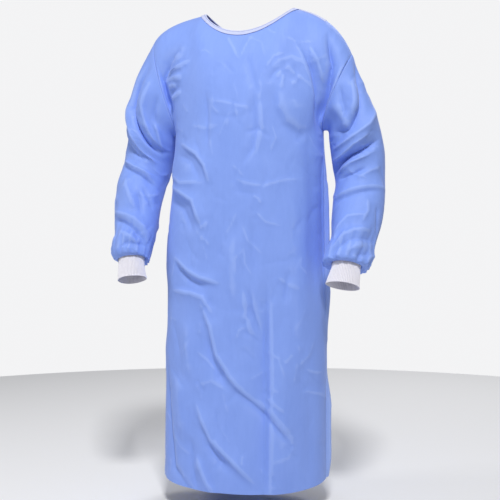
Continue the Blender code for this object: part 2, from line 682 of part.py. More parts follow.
def neck_binding(front, back_left, back_right):
    """The tape round the neckline, from one back panel's free edge to the other's."""
    start = CELLS_ON_SHOULDER
    end = start + CELLS_ON_FRONT_NECK
    back_cells = CELLS_BESIDE_LAP + CELLS_ON_LAP
    runs = (neck_run(back_left, slice(None, start - 1, -1)),
            neck_seam_run(front, start, -1),
            neck_run(front, slice(start, end + 1)),
            neck_seam_run(front, end, 1),
            neck_run(back_right, slice(start, None)))
    path, way, normals = (np.concatenate(parts) for parts in zip(*runs))
    edge_way = way.copy()
    for seam in (back_cells + 1, back_cells + CELLS_ON_FRONT_NECK + 3):
        edge_way[[seam - 1, seam + 1]] = way[seam]
        path[[seam - 1, seam + 1]] = path[seam]
        normals[[seam - 1, seam + 1]] = normals[seam]
    out = WALL / 2.0 + BINDING_GAP + TAPE_WALL / 2.0
    widths = (-BINDING_RISE, BINDING_WIDTH / 2.0, BINDING_WIDTH)
    piece = strip("neck_binding", path, (edge_way, way, way), widths, normals, out)
    piece.lift = np.broadcast_to(normals, piece.points.shape) * TAPE_WALL / 2.0
    return piece


def shoulder_tape(front, back_left):
    """The tape over the wearer's left shoulder seam, from beside the neck binding outward."""
    top = front.points.shape[0] - 1
    columns = np.arange(CELLS_ON_SHOULDER + 1)
    samples = np.linspace(SHOULDER_TAPE_FROM, SHOULDER_TAPE_TO, SHOULDER_TAPE_POINTS)

    def sampled(values):
        return np.stack([np.interp(samples, columns, values[:, axis]) for axis in range(3)], axis=-1)

    span = slice(0, CELLS_ON_SHOULDER + 1)
    path = sampled((front.points[top, span] + back_left.points[top, span]) / 2.0)
    normals = unit(sampled(back_left.lift[top, span]))
    over = unit(sampled(back_left.points[top - 1, span] - back_left.points[top, span]))
    down = unit(sampled(front.points[top - 1, span] - front.points[top, span]))
    out = WALL / 2.0 + LAY_GAP + TAPE_WALL / 2.0
    widths = (SHOULDER_TAPE_WIDTH * 0.25, 0.0, SHOULDER_TAPE_WIDTH * 0.75)
    return facing(strip("shoulder_tape", path, (down, down, over), widths, normals, out), normals)


def row_at(height):
    """The row of a back panel at a height below the arms."""
    return (height - HEM_HEIGHT) / (UNDERARM_HEIGHT - HEM_HEIGHT)


def place_at(x, height):
    """The place round the back at a distance x from the middle, at a height below the arms."""
    share = np.abs(x) / through(TORSO["height"], TORSO["half_width"], height)
    return np.sign(x) * np.arcsin(share ** (1.0 / SECTION_POWER)) * 2.0 / math.pi


def on_panel(panel, side, place, row):
    """The point of a back panel's flat cells at a place and row."""
    lines = np.interp(row, body_rows(), np.arange(panel.points.shape[0]))
    found = np.zeros(place.shape + (3,))
    for at in np.ndindex(place.shape):
        line = min(int(lines[at]), panel.points.shape[0] - 2)
        ends = []
        for edge in (line, line + 1):
            places = side * back_row(side, lap_width(body_rows()[edge]))
            column = np.interp(-side * place[at], -places, np.arange(len(places)))
            cell = min(int(column), len(places) - 2)
            pair = panel.points[edge, cell:cell + 2]
            ends.append(pair[0] + (pair[1] - pair[0]) * (column - cell))
        found[at] = ends[0] + (ends[1] - ends[0]) * (lines[at] - line)
    return found


def laid_tape(name, panels, place, row, out):
    """A tape on the back: on the left panel, and past its edge level with it over the right one."""
    left, right = panels
    lap = lap_width(row)
    over_left = place >= -lap
    points = np.where(over_left[..., None], on_panel(left, 1.0, place, row),
                      on_panel(right, -1.0, place, row))
    step = np.where(over_left, 0.0, LAP_DEPTH * ease((place + lap + LAP_RUN) / LAP_RUN))
    normals = grid_normals(body_surface(place, row, back=True))
    normals = normals * np.sign(normals[..., 1:2].mean())
    piece = Cloth(name, points + normals * (out + step)[..., None], wall=TAPE_WALL)
    return facing(piece, normals[0])


def neck_tab(panels):
    """The hook-and-loop tab that closes the neck: on the left panel and over its edge to the right."""
    place, row = np.meshgrid(np.linspace(*TAB_PLACES, 7), np.linspace(*TAB_ROWS, 3))
    out = WALL / 2.0 + TAB_GAP + TAPE_WALL / 2.0
    past = ease((-lap_width(row) - 0.01 - place) / 0.04)
    return laid_tape("neck_tab", panels, place, row, out - TAB_STEP * past)


def tie_band(name, panels, start):
    """A waist tie from where it is sewn on, along the back in a shallow sag, to the knot."""
    end = math.copysign(KNOT_SIDE, start)
    x, across = np.meshgrid(np.linspace(start, end, 11), np.linspace(-0.5, 0.5, 3))
    share = (x - start) / (end - start)
    height = TIE_HEIGHT + TIE_WIDTH * across - TIE_SAG * np.sin(math.pi * share)
    return laid_tape(name, panels, place_at(x, height), row_at(height), TIE_OUT + 0.0 * x)


def tie_tail(name, panels, x_top, x_bottom, length):
    """A tie's free end, which hangs down the back from the knot."""
    share, across = np.meshgrid(np.linspace(0.0, 1.0, 13), np.linspace(-0.5, 0.5, 3))
    height = TAIL_TOP - length * share
    x = x_top + (x_bottom - x_top) * share + across * TIE_WIDTH
    return laid_tape(name, panels, place_at(x, height), row_at(height), TIE_OUT + 0.0 * x)


def tie_knot(panel, collection):
    """The flat knot of the ties at centre back: a rounded block with a waist."""
    seat = on_panel(panel, 1.0, np.zeros(1), np.full(1, row_at(TIE_HEIGHT)))[0]
    bm = bmesh.new()
    bmesh.ops.create_cube(bm, size=1.0)
    bmesh.ops.subdivide_edges(bm, edges=bm.edges[:], cuts=2, use_grid_fill=True)
    for vert in bm.verts:
        waist = 1.0 - KNOT_WAIST * (1.0 - abs(vert.co.x) * 2.0)
        vert.co.x *= KNOT_SIZE[0]
        vert.co.y *= KNOT_SIZE[1] * waist
        vert.co.z *= KNOT_SIZE[2] * waist
    bmesh.ops.translate(bm, verts=bm.verts, vec=(0.0, seat[1] + KNOT_OUT, TIE_HEIGHT))
    mesh = bpy.data.meshes.new("tie_knot")
    bm.to_mesh(mesh)
    bm.free()
    mesh.shade_smooth()
    mesh.materials.append(finish_material("tie_knot_finish", BACK_BLUE, TAPE_ROUGHNESS))
    placed = bpy.data.objects.new("tie_knot", mesh)
    rounding = placed.modifiers.new("rounding", "BEVEL")
    rounding.width = KNOT_ROUND
    rounding.segments = 2
    collection.objects.link(placed)
    return placed


def finish_material(name, colour, roughness):
    """A plain Principled finish."""
    material = bpy.data.materials.new(name)
    material.use_nodes = True
    shader = material.node_tree.nodes["Principled BSDF"]
    shader.inputs["Base Color"].default_value = colour
    shader.inputs["Roughness"].default_value = roughness
    shader.inputs["Metallic"].default_value = 0.0
    material.diffuse_color = colour
    return material


def lean(piece):
    """Moves a piece's points below the chest a little towards the wearer's right."""
    piece.points[..., 0] -= LEAN * ease((LEAN_START - piece.points[..., 2]) / LEAN_RUN)
    return piece


def make_object(piece, collection, colour, roughness=CLOTH_ROUGHNESS):
    """Makes a piece's wall: its inner face as a grid, extruded to its outer face."""
    rows, columns = piece.points.shape[:2]
    inner = (piece.points - piece.lift).reshape(-1, 3)
    outer = (piece.points + piece.lift).reshape(-1, 3)
    bm = bmesh.new()
    bmesh.ops.create_grid(bm, x_segments=columns - 1, y_segments=rows - 1, size=0.5)
    number = bm.verts.layers.int.new("number")
    for count, vert in enumerate(bm.verts):
        vert[number] = count
        vert.co = inner[count]
    bmesh.ops.remove_doubles(bm, verts=bm.verts, dist=1e-6)
    made = bmesh.ops.extrude_face_region(bm, geom=bm.faces[:])
    for vert in made["geom"]:
        if isinstance(vert, bmesh.types.BMVert):
            vert.co = outer[vert[number]]
    bmesh.ops.recalc_face_normals(bm, faces=bm.faces)
    bm.verts.layers.int.remove(number)
    mesh = bpy.data.meshes.new(piece.name)
    bm.to_mesh(mesh)
    bm.free()
    mesh.shade_smooth()
    mesh.set_sharp_from_angle(angle=SHARP_EDGE)
    mesh.materials.append(finish_material(piece.name + "_finish", colour, roughness))
    placed = bpy.data.objects.new(piece.name, mesh)
    collection.objects.link(placed)
    return placed


def main():
    """Builds the gown."""
    for old in list(bpy.data.objects):
        bpy.data.objects.remove(old)
    collection = bpy.data.collections.new("surgical_gown")
    bpy.context.scene.collection.children.link(collection)
    front = front_panel()
    back_left = back_panel("back_left", 1.0)
    back_right = back_panel("back_right", -1.0)
    last_column = front.points.shape[1] - 1
    sleeve_left = sleeve("sleeve_left", "left", armhole_loop(front, back_left, 0))
    sleeve_right = mirror(sleeve("sleeve_right", "right", armhole_loop(front, back_right, last_column)))
    join_side(front, back_left, sleeve_left, 0, 1)
    join_side(front, back_right, sleeve_right, last_column, -1)
    panels = (back_left, back_right)
    tapes = (neck_binding(front, back_left, back_right), shoulder_tape(front, back_left), neck_tab(panels))
    ties = (tie_band("tie_left", panels, TIE_START), tie_band("tie_right", panels, -TIE_START),
            tie_tail("tie_tail_left", panels, *TAIL_LEFT), tie_tail("tie_tail_right", panels, *TAIL_RIGHT))
    make_object(lean(front), collection, FRONT_BLUE)
    for piece in panels:
        make_object(lean(piece), collection, BACK_BLUE)
    for piece in (sleeve_left, sleeve_right):
        make_object(piece, collection, BACK_BLUE)
    for piece in (cuff("cuff_left", "left"), mirror(cuff("cuff_right", "right"))):
        make_object(piece, collection, WHITE_KNIT, TAPE_ROUGHNESS)
    for piece in tapes:
        make_object(piece, collection, WHITE_TAPE, TAPE_ROUGHNESS)
    for piece in ties:
        make_object(lean(piece), collection, BACK_BLUE, TAPE_ROUGHNESS)
    tie_knot(back_left, collection)


main()
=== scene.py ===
"""Surgical gown, worn and hollow: the cloth, seams, knitted cuffs, tapes and back ties, dressed.

Metres, +Z up. The gown faces -Y and the wearer's left is at +X, as in the frame that it loads. Each
cloth piece is a fine grid on the form of its solid, creased where the worn one is, with a thin wall.
"""

import logging
import math
from dataclasses import dataclass
from enum import Enum

import bmesh
import bpy
import numpy as np
from mathutils import Matrix, Vector


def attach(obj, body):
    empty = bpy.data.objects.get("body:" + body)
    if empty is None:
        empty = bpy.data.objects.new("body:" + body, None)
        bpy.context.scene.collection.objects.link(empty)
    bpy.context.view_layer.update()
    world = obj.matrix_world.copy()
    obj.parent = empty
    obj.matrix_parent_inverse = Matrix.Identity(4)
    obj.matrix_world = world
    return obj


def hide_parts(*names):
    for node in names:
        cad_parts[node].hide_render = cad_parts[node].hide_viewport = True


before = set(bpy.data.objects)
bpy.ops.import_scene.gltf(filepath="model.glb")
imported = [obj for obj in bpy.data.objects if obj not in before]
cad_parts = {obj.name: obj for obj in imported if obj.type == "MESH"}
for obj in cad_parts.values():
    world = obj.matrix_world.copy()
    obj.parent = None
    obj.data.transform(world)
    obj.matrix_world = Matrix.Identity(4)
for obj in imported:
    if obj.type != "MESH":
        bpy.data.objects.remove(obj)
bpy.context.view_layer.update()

LOG = logging.getLogger("gown")
Array = np.ndarray
Colour = tuple[float, float, float]

# Cloth and seams
WALL = 0.0009
TAPE_WALL = 0.0008
SEAM_GAP = 0.0002
SEAM_DIP = 0.0011
STEEPEST_MITRE = 0.20
STEEPEST_CORNER = 0.5
WELD = 1e-6
SHARP_ANGLE = math.radians(75.0)

# How many rows below a panel's top edge the neck tapes may lie on, and how sharply the nearest count
ROWS_UNDER_TAPES = 24
ROWS_UNDER_SHOULDER_TAPE = 15
NEAR_SPREAD = 0.000012

# How many fine cells stand for one of the solid's cells
ACROSS = 6
UP_BODY = 9
UP_ARMHOLE = 6
CELLS_ON_SHOULDER = 8 * ACROSS
CELLS_ON_FRONT_NECK = 14 * ACROSS
CELLS_BESIDE_LAP = 4 * ACROSS
CELLS_ON_LAP = 5 * ACROSS
CELLS_BELOW_ARM = 22 * UP_BODY
CELLS_ON_ARMHOLE = 11 * UP_ARMHOLE
CELLS_ALONG_SLEEVE = 190

# A wide crease is round on top and a narrow one has a crisp line
SOFT_FROM = 0.0155
SOFT_CREST = 1.8
SHARP_CREST = 1.25

# Below the chest the gown hangs a little towards the wearer's right
LEAN = 0.010
LEAN_START = -0.400
LEAN_RUN = 0.250


class Side(Enum):
    """The wearer's two sides."""

    LEFT = "left"
    RIGHT = "right"

    @property
    def sign(self) -> float:
        """1 on the wearer's left and -1 on the right."""
        return 1.0 if self is Side.LEFT else -1.0


class Slot(Enum):
    """The finishes that another gown could have in other colours."""

    FRONT = "front_cloth"
    BACK = "back_cloth"
    SLEEVE = "sleeve_cloth"
    KNIT = "rib_knit"
    BINDING = "binding"
    TAB = "hook_tab"
    TIE = "tie_cloth"


def ease(share: Array) -> Array:
    """Rises smoothly from 0 to 1 while share goes from 0 to 1."""
    share = np.clip(share, 0.0, 1.0)
    return share * share * (3.0 - 2.0 * share)


def unit(vectors: Array) -> Array:
    """Vectors of length 1 in the same directions."""
    return vectors / np.maximum(np.linalg.norm(vectors, axis=-1, keepdims=True), 1e-12)


def through(places: tuple[float, ...], values: tuple[float, ...], at: Array) -> Array:
    """A smooth curve through a table's column.

    Args:
        places: where the rows of the table are.
        values: the column's values on those rows.
        at: where the curve is read.

    Returns:
        The curve's values, with the slope at a row taken from its neighbours.
    """
    rows = np.asarray(places)
    column = np.asarray(values)
    slopes = np.gradient(column, rows)
    at = np.clip(at, rows[0], rows[-1])
    cell = np.clip(np.searchsorted(rows, at, side="right") - 1, 0, len(rows) - 2)
    width = rows[cell + 1] - rows[cell]
    t = (at - rows[cell]) / width
    start = (1.0 + 2.0 * t) * (1.0 - t) ** 2 * column[cell]
    end = t * t * (3.0 - 2.0 * t) * column[cell + 1]
    bends = width * t * (1.0 - t) * ((1.0 - t) * slopes[cell] - t * slopes[cell + 1])
    return start + end + bends


def bezier(first: Array, handle_first: Array, handle_last: Array, last: Array, t: Array) -> Array:
    """Points of a cubic curve.

    Args:
        first: where it starts.
        handle_first: its first handle, as an offset from the start.
        handle_last: its last handle, as an offset from the end.
        last: where it ends.
        t: shares along it.

    Returns:
        The points at those shares.
    """
    a = (1.0 - t) ** 3
    b = 3.0 * (1.0 - t) ** 2 * t
    c = 3.0 * (1.0 - t) * t * t
    return a * first + b * (first + handle_first) + c * (last + handle_last) + t ** 3 * last


def grid_normals(points: Array, closed: bool = False) -> Array:
    """Outward normals of a grid whose rows go up and whose columns go to the wearer's right.

    Args:
        points: the grid's points, rows by columns by 3.
        closed: whether the last column is the first one again.

    Returns:
        A normal for each point.
    """
    up = np.gradient(points, axis=0)
    if closed:
        wrapped = np.concatenate([points[:, -2:-1], points, points[:, 1:2]], axis=1)
        across = np.gradient(wrapped, axis=1)[:, 1:-1]
    else:
        across = np.gradient(points, axis=1)
    return unit(np.cross(up, across))


def walked(points: Array, axis: int) -> Array:
    """How far each point of a grid is from its first row or column, along the cloth."""
    steps = np.linalg.norm(np.diff(points, axis=axis), axis=-1)
    return np.concatenate([0.0 * np.take(steps, [0], axis=axis), np.cumsum(steps, axis=axis)], axis=axis)


# Crest heights feed the cloth's painted highlights on crests and painted shade in troughs.
def crests(lift: Array) -> Array:
    """How sharply each point stands out from, or lies below, the cloth round it, in millimetres.

    Args:
        lift: how far the cloth is lifted at each point of a grid.

    Returns:
        The height over the cloth round it.
    """
    around = lift.copy()
    for _ in range(3):
        around[1:-1] = (around[:-2] + 2.0 * around[1:-1] + around[2:]) / 4.0
        around[:, 1:-1] = (around[:, :-2] + 2.0 * around[:, 1:-1] + around[:, 2:]) / 4.0
    return (lift - around) * 1000.0


@dataclass(frozen=True)
class Crease:
    """A ridge (positive height) or trough (negative) along a path, tapering at both ends.

    A skew makes one flank steeper than the other, as where cloth folds over.
    """

    path: tuple[tuple[float, float], ...]
    half_width: float
    height: float
    skew: float = 0.0

    def lift(self, x: Array, z: Array) -> Array:
        """How far the crease lifts the cloth.

        Args:
            x: places across the cloth.
            z: places up the cloth.

        Returns:
            The lift at each place, in metres.
        """
        points = np.array(self.path)
        steps = np.diff(points, axis=0)
        lengths = np.hypot(steps[:, 0], steps[:, 1])
        nearest = np.full(x.shape, 1e9)
        off = np.zeros(x.shape)
        along = np.zeros(x.shape)
        behind = 0.0
        for count, (start, step, length) in enumerate(zip(points[:-1], steps, lengths)):
            share = ((x - start[0]) * step[0] + (z - start[1]) * step[1]) / length ** 2
            low = -1.0 if count == 0 else 0.0
            high = 2.0 if count == len(steps) - 1 else 1.0
            held = np.clip(share, low, high)
            away_x = x - start[0] - held * step[0]
            away_z = z - start[1] - held * step[1]
            distance = np.hypot(away_x, away_z)
            side = np.sign((x - start[0]) * step[1] - (z - start[1]) * step[0])
            closer = distance < nearest
            nearest = np.where(closer, distance, nearest)
            off = np.where(closer, side * distance, off)
            along = np.where(closer, behind + held * length, along)
            behind += length
        along = along / behind
        taper = ease((along + 0.15) / 0.40) * ease((1.15 - along) / 0.40)
        width = self.half_width * (1.0 + self.skew * np.tanh(off / self.half_width))
        crest = SOFT_CREST if self.half_width > SOFT_FROM else SHARP_CREST
        return self.height * taper * np.exp(-(np.abs(off / width) ** crest))


def creased(rows: tuple[tuple, ...], across: float = 1000.0, up: float = 1000.0) -> tuple[Crease, ...]:
    """Creases from a table.

    Args:
        rows: each crease's path, its half width and height in millimetres, and its skew if it has one.
        across: how many of a path's first numbers make 1.
        up: how many of its second numbers make 1.

    Returns:
        The creases.
    """
    made = []
    for path, half_width, height, *skew in rows:
        points = tuple((x / across, z / up) for x, z in path)
        made.append(Crease(points, half_width / 1000.0, height / 1000.0, *skew))
    return tuple(made)


@dataclass(frozen=True)
class Pouch:
    """A soft oval swelling of the cloth, with a rim that is firmer below."""

    centre: tuple[float, float]
    half_size: tuple[float, float]
    height: float

    def lift(self, x: Array, z: Array) -> Array:
        """How far the swelling lifts the cloth at x, z.

        Args:
            x: places across the cloth.
            z: places up the cloth.

        Returns:
            The lift at each place, in metres.
        """
        reach = np.hypot((x - self.centre[0]) / self.half_size[0], (z - self.centre[1]) / self.half_size[1])
        below = ease((self.centre[1] + 0.6 * self.half_size[1] - z) / self.half_size[1])
        return self.height * np.exp(-((reach / 0.92) ** 3)) * (0.45 + 0.55 * below)


@dataclass(frozen=True)
class Crumple:
    """Many short shallow creases that non-woven cloth takes, laid out from a seed."""

    seed: int
    count: int
    low: tuple[float, float]
    high: tuple[float, float]
    slant: float
    height: float
    lengths: tuple[float, float] = (0.022, 0.085)
    half_widths: tuple[float, float] = (0.0048, 0.0105)
    depths: tuple[float, float] = (0.35, 1.0)
    skews: tuple[float, float] = (-0.45, 0.45)
    slant_spread: float = 0.55
    bend_spread: float = 0.12

    def creases(self) -> list[Crease]:
        """The creases, each with its own place, slant, length and depth.

        Returns:
            The creases, the same ones each time.
        """
        pick = np.random.default_rng(self.seed)
        made = []
        for _ in range(self.count):
            x = pick.uniform(self.low[0], self.high[0])
            z = pick.uniform(self.low[1], self.high[1])
            length = pick.uniform(*self.lengths)
            turn = self.slant + pick.normal(0.0, self.slant_spread)
            bend = pick.normal(0.0, self.bend_spread) * length
            run = (math.cos(turn) * length, math.sin(turn) * length)
            middle = (x + run[0] / 2.0 - run[1] / length * bend, z + run[1] / 2.0 + run[0] / length * bend)
            height = self.height * pick.uniform(*self.depths) * pick.choice((-1.0, 1.0))
            path = ((x, z), middle, (x + run[0], z + run[1]))
            made.append(Crease(path, pick.uniform(*self.half_widths), height, pick.uniform(*self.skews)))
        return made


def lift_of(creases: list[Crease] | tuple[Crease | Pouch, ...], x: Array, z: Array) -> Array:
    """How far a set of creases lifts the cloth at x, z, in metres."""
    return sum((crease.lift(x, z) for crease in creases), np.zeros(x.shape))


class Socket:
    """A number inside a material, on which sums are written as they are on plain numbers."""

    def __init__(self, nodes: "Nodes", socket: bpy.types.NodeSocket) -> None:
        """Wraps an output socket of one of the material's nodes."""
        self.nodes = nodes
        self.socket = socket

    def sum_with(self, operation: str, first: "Socket | float", second: "Socket | float" = 0.0) -> "Socket":
        """Adds a Math node and gives its output."""
        return self.nodes.add("ShaderNodeMath", {"operation": operation}, {0: first, 1: second})

    def __add__(self, other: "Socket | float") -> "Socket":
        """Sum."""
        return self.sum_with("ADD", self, other)

    def __radd__(self, other: float) -> "Socket":
        """Sum, from a plain number."""
        return self.sum_with("ADD", other, self)

    def __sub__(self, other: "Socket | float") -> "Socket":
        """Difference."""
        return self.sum_with("SUBTRACT", self, other)

    def __rsub__(self, other: float) -> "Socket":
        """Difference, from a plain number."""
        return self.sum_with("SUBTRACT", other, self)

    def __mul__(self, other: "Socket | float") -> "Socket":
        """Product."""
        return self.sum_with("MULTIPLY", self, other)

    def __rmul__(self, other: float) -> "Socket":
        """Product, from a plain number."""
        return self.sum_with("MULTIPLY", other, self)

    def __truediv__(self, other: "Socket | float") -> "Socket":
        """Quotient."""
        return self.sum_with("DIVIDE", self, other)

    def __rtruediv__(self, other: float) -> "Socket":
        """Quotient, from a plain number."""
        return self.sum_with("DIVIDE", other, self)

    def sine(self) -> "Socket":
        """Its sine."""
        return self.sum_with("SINE", self)

    def fraction(self) -> "Socket":
        """What is left past its whole part."""
        return self.sum_with("FRACT", self)

    def size(self) -> "Socket":
        """Its size without its sign."""
        return self.sum_with("ABSOLUTE", self)

    def under(self, limit: float) -> "Socket":
        """1 where it is under a limit, else 0."""
        return self.sum_with("LESS_THAN", self, limit)

    def between(self, low: float, high: float, soft: float) -> "Socket":
        """1 between two limits and 0 outside them, with soft edges.

        Args:
            low: the lower limit.
            high: the upper limit.
            soft: half the width of the soft edges.

        Returns:
            How far it is between them.
        """
        rise = self.nodes.add("ShaderNodeMapRange", {"interpolation_type": "SMOOTHSTEP"},
                              {"Value": self, "From Min": low - soft, "From Max": low + soft})
        fall = self.nodes.add("ShaderNodeMapRange", {"interpolation_type": "SMOOTHSTEP"},
                              {"Value": self, "From Min": high - soft, "From Max": high + soft})
        return rise - fall


class Nodes:
    """The nodes of one material."""

    def __init__(self, name: str) -> None:
        """Starts a material with its Principled shader.

        Args:
            name: the material's name.
        """
        self.material = bpy.data.materials.new(name)
        self.material.use_nodes = True
        self.tree = self.material.node_tree
        self.shader = self.tree.nodes["Principled BSDF"]

    def set_input(self, socket: bpy.types.NodeSocket, value: object) -> None:
        """Links a socket to another node's output, or sets its value.

        Args:
            socket: the input.
            value: a plain value, or a node's output.
        """
        if isinstance(value, Socket):
            self.tree.links.new(value.socket, socket)
        elif isinstance(value, tuple) and len(value) == 3 and socket.type == "RGBA":
            socket.default_value = (*value, 1.0)
        else:
            socket.default_value = value

    def add(self, kind: str, settings: dict[str, object], inputs: dict[int | str, object],
            output: int | str = 0) -> Socket:
        """Adds a node.

        Args:
            kind: the node's type.
            settings: its own settings, which are set first.
            inputs: values or links for its sockets, by name or number.
            output: which of its outputs is wanted.

        Returns:
            That output.
        """
        node = self.tree.nodes.new(kind)
        for name, value in settings.items():
            setattr(node, name, value)
        for name, value in inputs.items():
            self.set_input(node.inputs[name], value)
        return Socket(self, node.outputs[output])

    def on_cloth(self, uv_map: str = "cloth") -> tuple[Socket, Socket, Socket]:
        """The place on the cloth in metres: as a vector, across and along.

        Args:
            uv_map: which of the piece's maps.

        Returns:
            The vector, its first part and its second.
        """
        place = self.add("ShaderNodeUVMap", {"uv_map": uv_map}, {})
        across = self.add("ShaderNodeSeparateXYZ", {}, {0: place}, "X")
        along = self.add("ShaderNodeSeparateXYZ", {}, {0: place}, "Y")
        return place, across, along

    def scaled(self, place: Socket, scale: tuple[float, float, float]) -> Socket:
        """A place multiplied by a scale in each direction."""
        return self.add("ShaderNodeVectorMath", {"operation": "MULTIPLY"}, {0: place, 1: scale})

    def noise(self, place: Socket, scale: float, detail: float = 3.0, ridged: bool = False,
              distortion: float = 0.0) -> Socket:
        """A noise pattern's values.

        Args:
            place: where it is read.
            scale: how fine it is.
            detail: how many finer layers it has.
            ridged: whether it has sharp ridges.
            distortion: how much it is warped.

        Returns:
            Its values.
        """
        settings = {"noise_type": "RIDGED_MULTIFRACTAL" if ridged else "FBM"}
        return self.add("ShaderNodeTexNoise", settings,
                        {"Vector": place, "Scale": scale, "Detail": detail, "Distortion": distortion}, 0)

    def blend(self, share: Socket | float, first: object, second: object, way: str = "MIX") -> Socket:
        """A colour between two others."""
        return self.add("ShaderNodeMix", {"data_type": "RGBA", "blend_type": way},
                        {0: share, 6: first, 7: second}, 2)

    def relief(self, height: Socket, distance: float, strength: float, below: Socket | None = None) -> Socket:
        """A Bump node over another one.

        Args:
            height: the relief's height.
            distance: how many metres a height of 1 is.
            strength: how much of it counts.
            below: the relief under it.

        Returns:
            The bent normal.
        """
        inputs: dict[int | str, object] = {"Height": height, "Distance": distance, "Strength": strength}
        if below is not None:
            inputs["Normal"] = below
        return self.add("ShaderNodeBump", {}, inputs)

    def finish(self, colour: Socket, rough: Socket | float, normal: Socket,
               fixed: dict[str, float]) -> bpy.types.Material:
        """Links the shader up and gives the material.

        Args:
            colour: the base colour.
            rough: the roughness.
            normal: the bent normal.
            fixed: plain values for other inputs, by name.

        Returns:
            The material.
        """
        self.set_input(self.shader.inputs["Base Color"], colour)
        self.set_input(self.shader.inputs["Roughness"], rough)
        self.set_input(self.shader.inputs["Normal"], normal)
        for name, value in fixed.items():
            self.shader.inputs[name].default_value = value
        return self.material


@dataclass(frozen=True)
class NonWoven:
    """Spun-bonded cloth: a cloudy web of fibres, a field of bond points, fine crinkles, stitched edges, and
    painted highlights and shade on its folds.
    """

    name: str
    colour: Colour
    shade: Colour
    thread: Colour
    bond_pitch: float = 0.0021
    stitch_length: float = 0.0042
    stitch_lines: tuple[float, ...] = (0.0036,)
    edge_lines: tuple[float, ...] = (0.0036,)
    # Colour that crest lines are lightened towards: a painted highlight.
    crease: Colour = (0.400, 0.540, 0.970)
    # How strongly crests take the painted highlight and troughs the painted shade.
    crest_highlight_and_trough_shade: float = 0.28
    crinkle: float = 0.0019
    crumple: float = 0.0048

    def stitches(self, nodes: Nodes, gap: Socket, along: Socket, lines: tuple[float, ...]) -> Socket:
        """Rows of stitches at their distances from an edge.

        Args:
            nodes: the material's nodes; not used.
            gap: how far the edge is.
            along: the place along it.
            lines: how far from the edge each row is.

        Returns:
            1 on a stitch and 0 beside it.
        """
        dash = (along / self.stitch_length).fraction().under(0.62)
        rows = [gap.between(line - 0.00045, line + 0.00045, 0.0003) for line in lines]
        total = rows[0]
        for row in rows[1:]:
            total = total + row
        return total * dash

    def make(self) -> bpy.types.Material:
        """Builds the material.

        Returns:
            The material.
        """
        nodes = Nodes(self.name)
        place, across, along = nodes.on_cloth()
        _, side_gap, end_gap = nodes.on_cloth("edges")
        cloud = nodes.noise(nodes.scaled(place, (1.0, 0.55, 1.0)), 16.0, 5.0)
        fibre = nodes.noise(nodes.scaled(place, (1.0, 0.35, 1.0)), 1500.0, 2.0)
        streak = nodes.noise(nodes.scaled(place, (1.0, 0.18, 1.0)), 110.0, 3.0, distortion=0.6)
        turn = math.pi / self.bond_pitch
        bond = ((across + along) * turn).sine() * ((across - along) * turn).sine()
        bond_dot = bond.between(0.50, 2.0, 0.18)
        sewn = self.stitches(nodes, side_gap, along, self.stitch_lines)
        sewn = sewn + self.stitches(nodes, end_gap, across, self.edge_lines)
        seam = nodes.add("ShaderNodeMath", {"operation": "MINIMUM"}, {0: side_gap, 1: end_gap})
        near_seam = 1.0 - seam.between(0.0016, 1.0, 0.0012)
        shading = (cloud - 0.5) * 0.75 + (streak - 0.5) * 0.40 + 0.42 + near_seam * 0.30
        colour = nodes.blend(shading, self.colour, self.shade)
        colour = nodes.blend(bond_dot * 0.16 + (fibre - 0.5).size() * 0.12, colour, self.shade)
        # Painted fold light: crest lines are lightened as a painted highlight, and troughs are darkened
        # towards the shade colour as painted shade.
        _, fold, _ = nodes.on_cloth("fold")
        colour = nodes.blend(fold.between(0.26, 9.0, 0.22) * self.crest_highlight_and_trough_shade, colour, self.crease)
        colour = nodes.blend((fold * -1.0).between(0.30, 9.0, 0.26) * self.crest_highlight_and_trough_shade, colour, self.shade)
        colour = nodes.blend(sewn * 0.55, colour, self.thread)
        large = nodes.noise(nodes.scaled(place, (1.0, 0.62, 1.0)), 9.0, 2.0, ridged=True, distortion=0.8)
        small = nodes.noise(nodes.scaled(place, (1.0, 0.7, 1.0)), 30.0, 3.0, ridged=True, distortion=0.45)
        fine = nodes.noise(place, 140.0, 3.0, ridged=True)
        crinkled = nodes.relief(large, self.crumple, 0.55)
        crinkled = nodes.relief(small, self.crinkle, 0.60, crinkled)
        crinkled = nodes.relief(fine, 0.00030, 0.55, crinkled)
        bonded = nodes.relief(bond_dot * -1.0 + fibre * 0.5, 0.00010, 0.45, crinkled)
        stitched = nodes.relief(sewn, 0.00035, 0.8, bonded)
        rough = (fibre - 0.5) * 0.16 + (cloud - 0.5) * 0.10 + 0.60
        return nodes.finish(colour, rough, stitched,
                            {"Specular IOR Level": 0.30, "Sheen Weight": 0.10, "Sheen Roughness": 0.45})


@dataclass(frozen=True)
class RibKnit:
    """White rib knit: wales run along the cuff, with a row of small loops across each."""

    name: str
    colour: Colour
    shade: Colour
    wales: int = 58
    loop_pitch: float = 0.0019

    def make(self) -> bpy.types.Material:
        """Builds the material.

        Returns:
            The material.
        """
        nodes = Nodes(self.name)
        place, _, along = nodes.on_cloth()
        _, share, _ = nodes.on_cloth("edges")
        wale = (share * (2.0 * math.pi * self.wales)).sine()
        half = (share * (2.0 * math.pi * self.wales * 2.0)).sine().size()
        loops = (along / self.loop_pitch + half * 0.5).fraction()
        knit = loops.between(0.22, 0.80, 0.20)
        fuzz = nodes.noise(place, 900.0, 4.0)
        cloud = nodes.noise(place, 30.0, 3.0)
        # Rib valleys and the gaps between loops are darkened towards the shade colour: painted shade.
        valley_shade = wale.between(-2.0, -0.25, 0.55)
        shading = valley_shade * 0.55 + (1.0 - knit) * 0.18 + (cloud - 0.5) * 0.2
        colour = nodes.blend(shading, self.colour, self.shade)
        colour = nodes.blend((fuzz - 0.5).size() * 0.25, colour, self.shade)
        ribs = nodes.relief(wale, 0.00030, 0.55)
        looped = nodes.relief(knit, 0.00022, 0.75, ribs)
        fuzzy = nodes.relief(fuzz, 0.00016, 0.6, looped)
        return nodes.finish(colour, fuzz * 0.1 + 0.80, fuzzy,
                            {"Specular IOR Level": 0.20, "Sheen Weight": 0.35, "Sheen Roughness": 0.55})


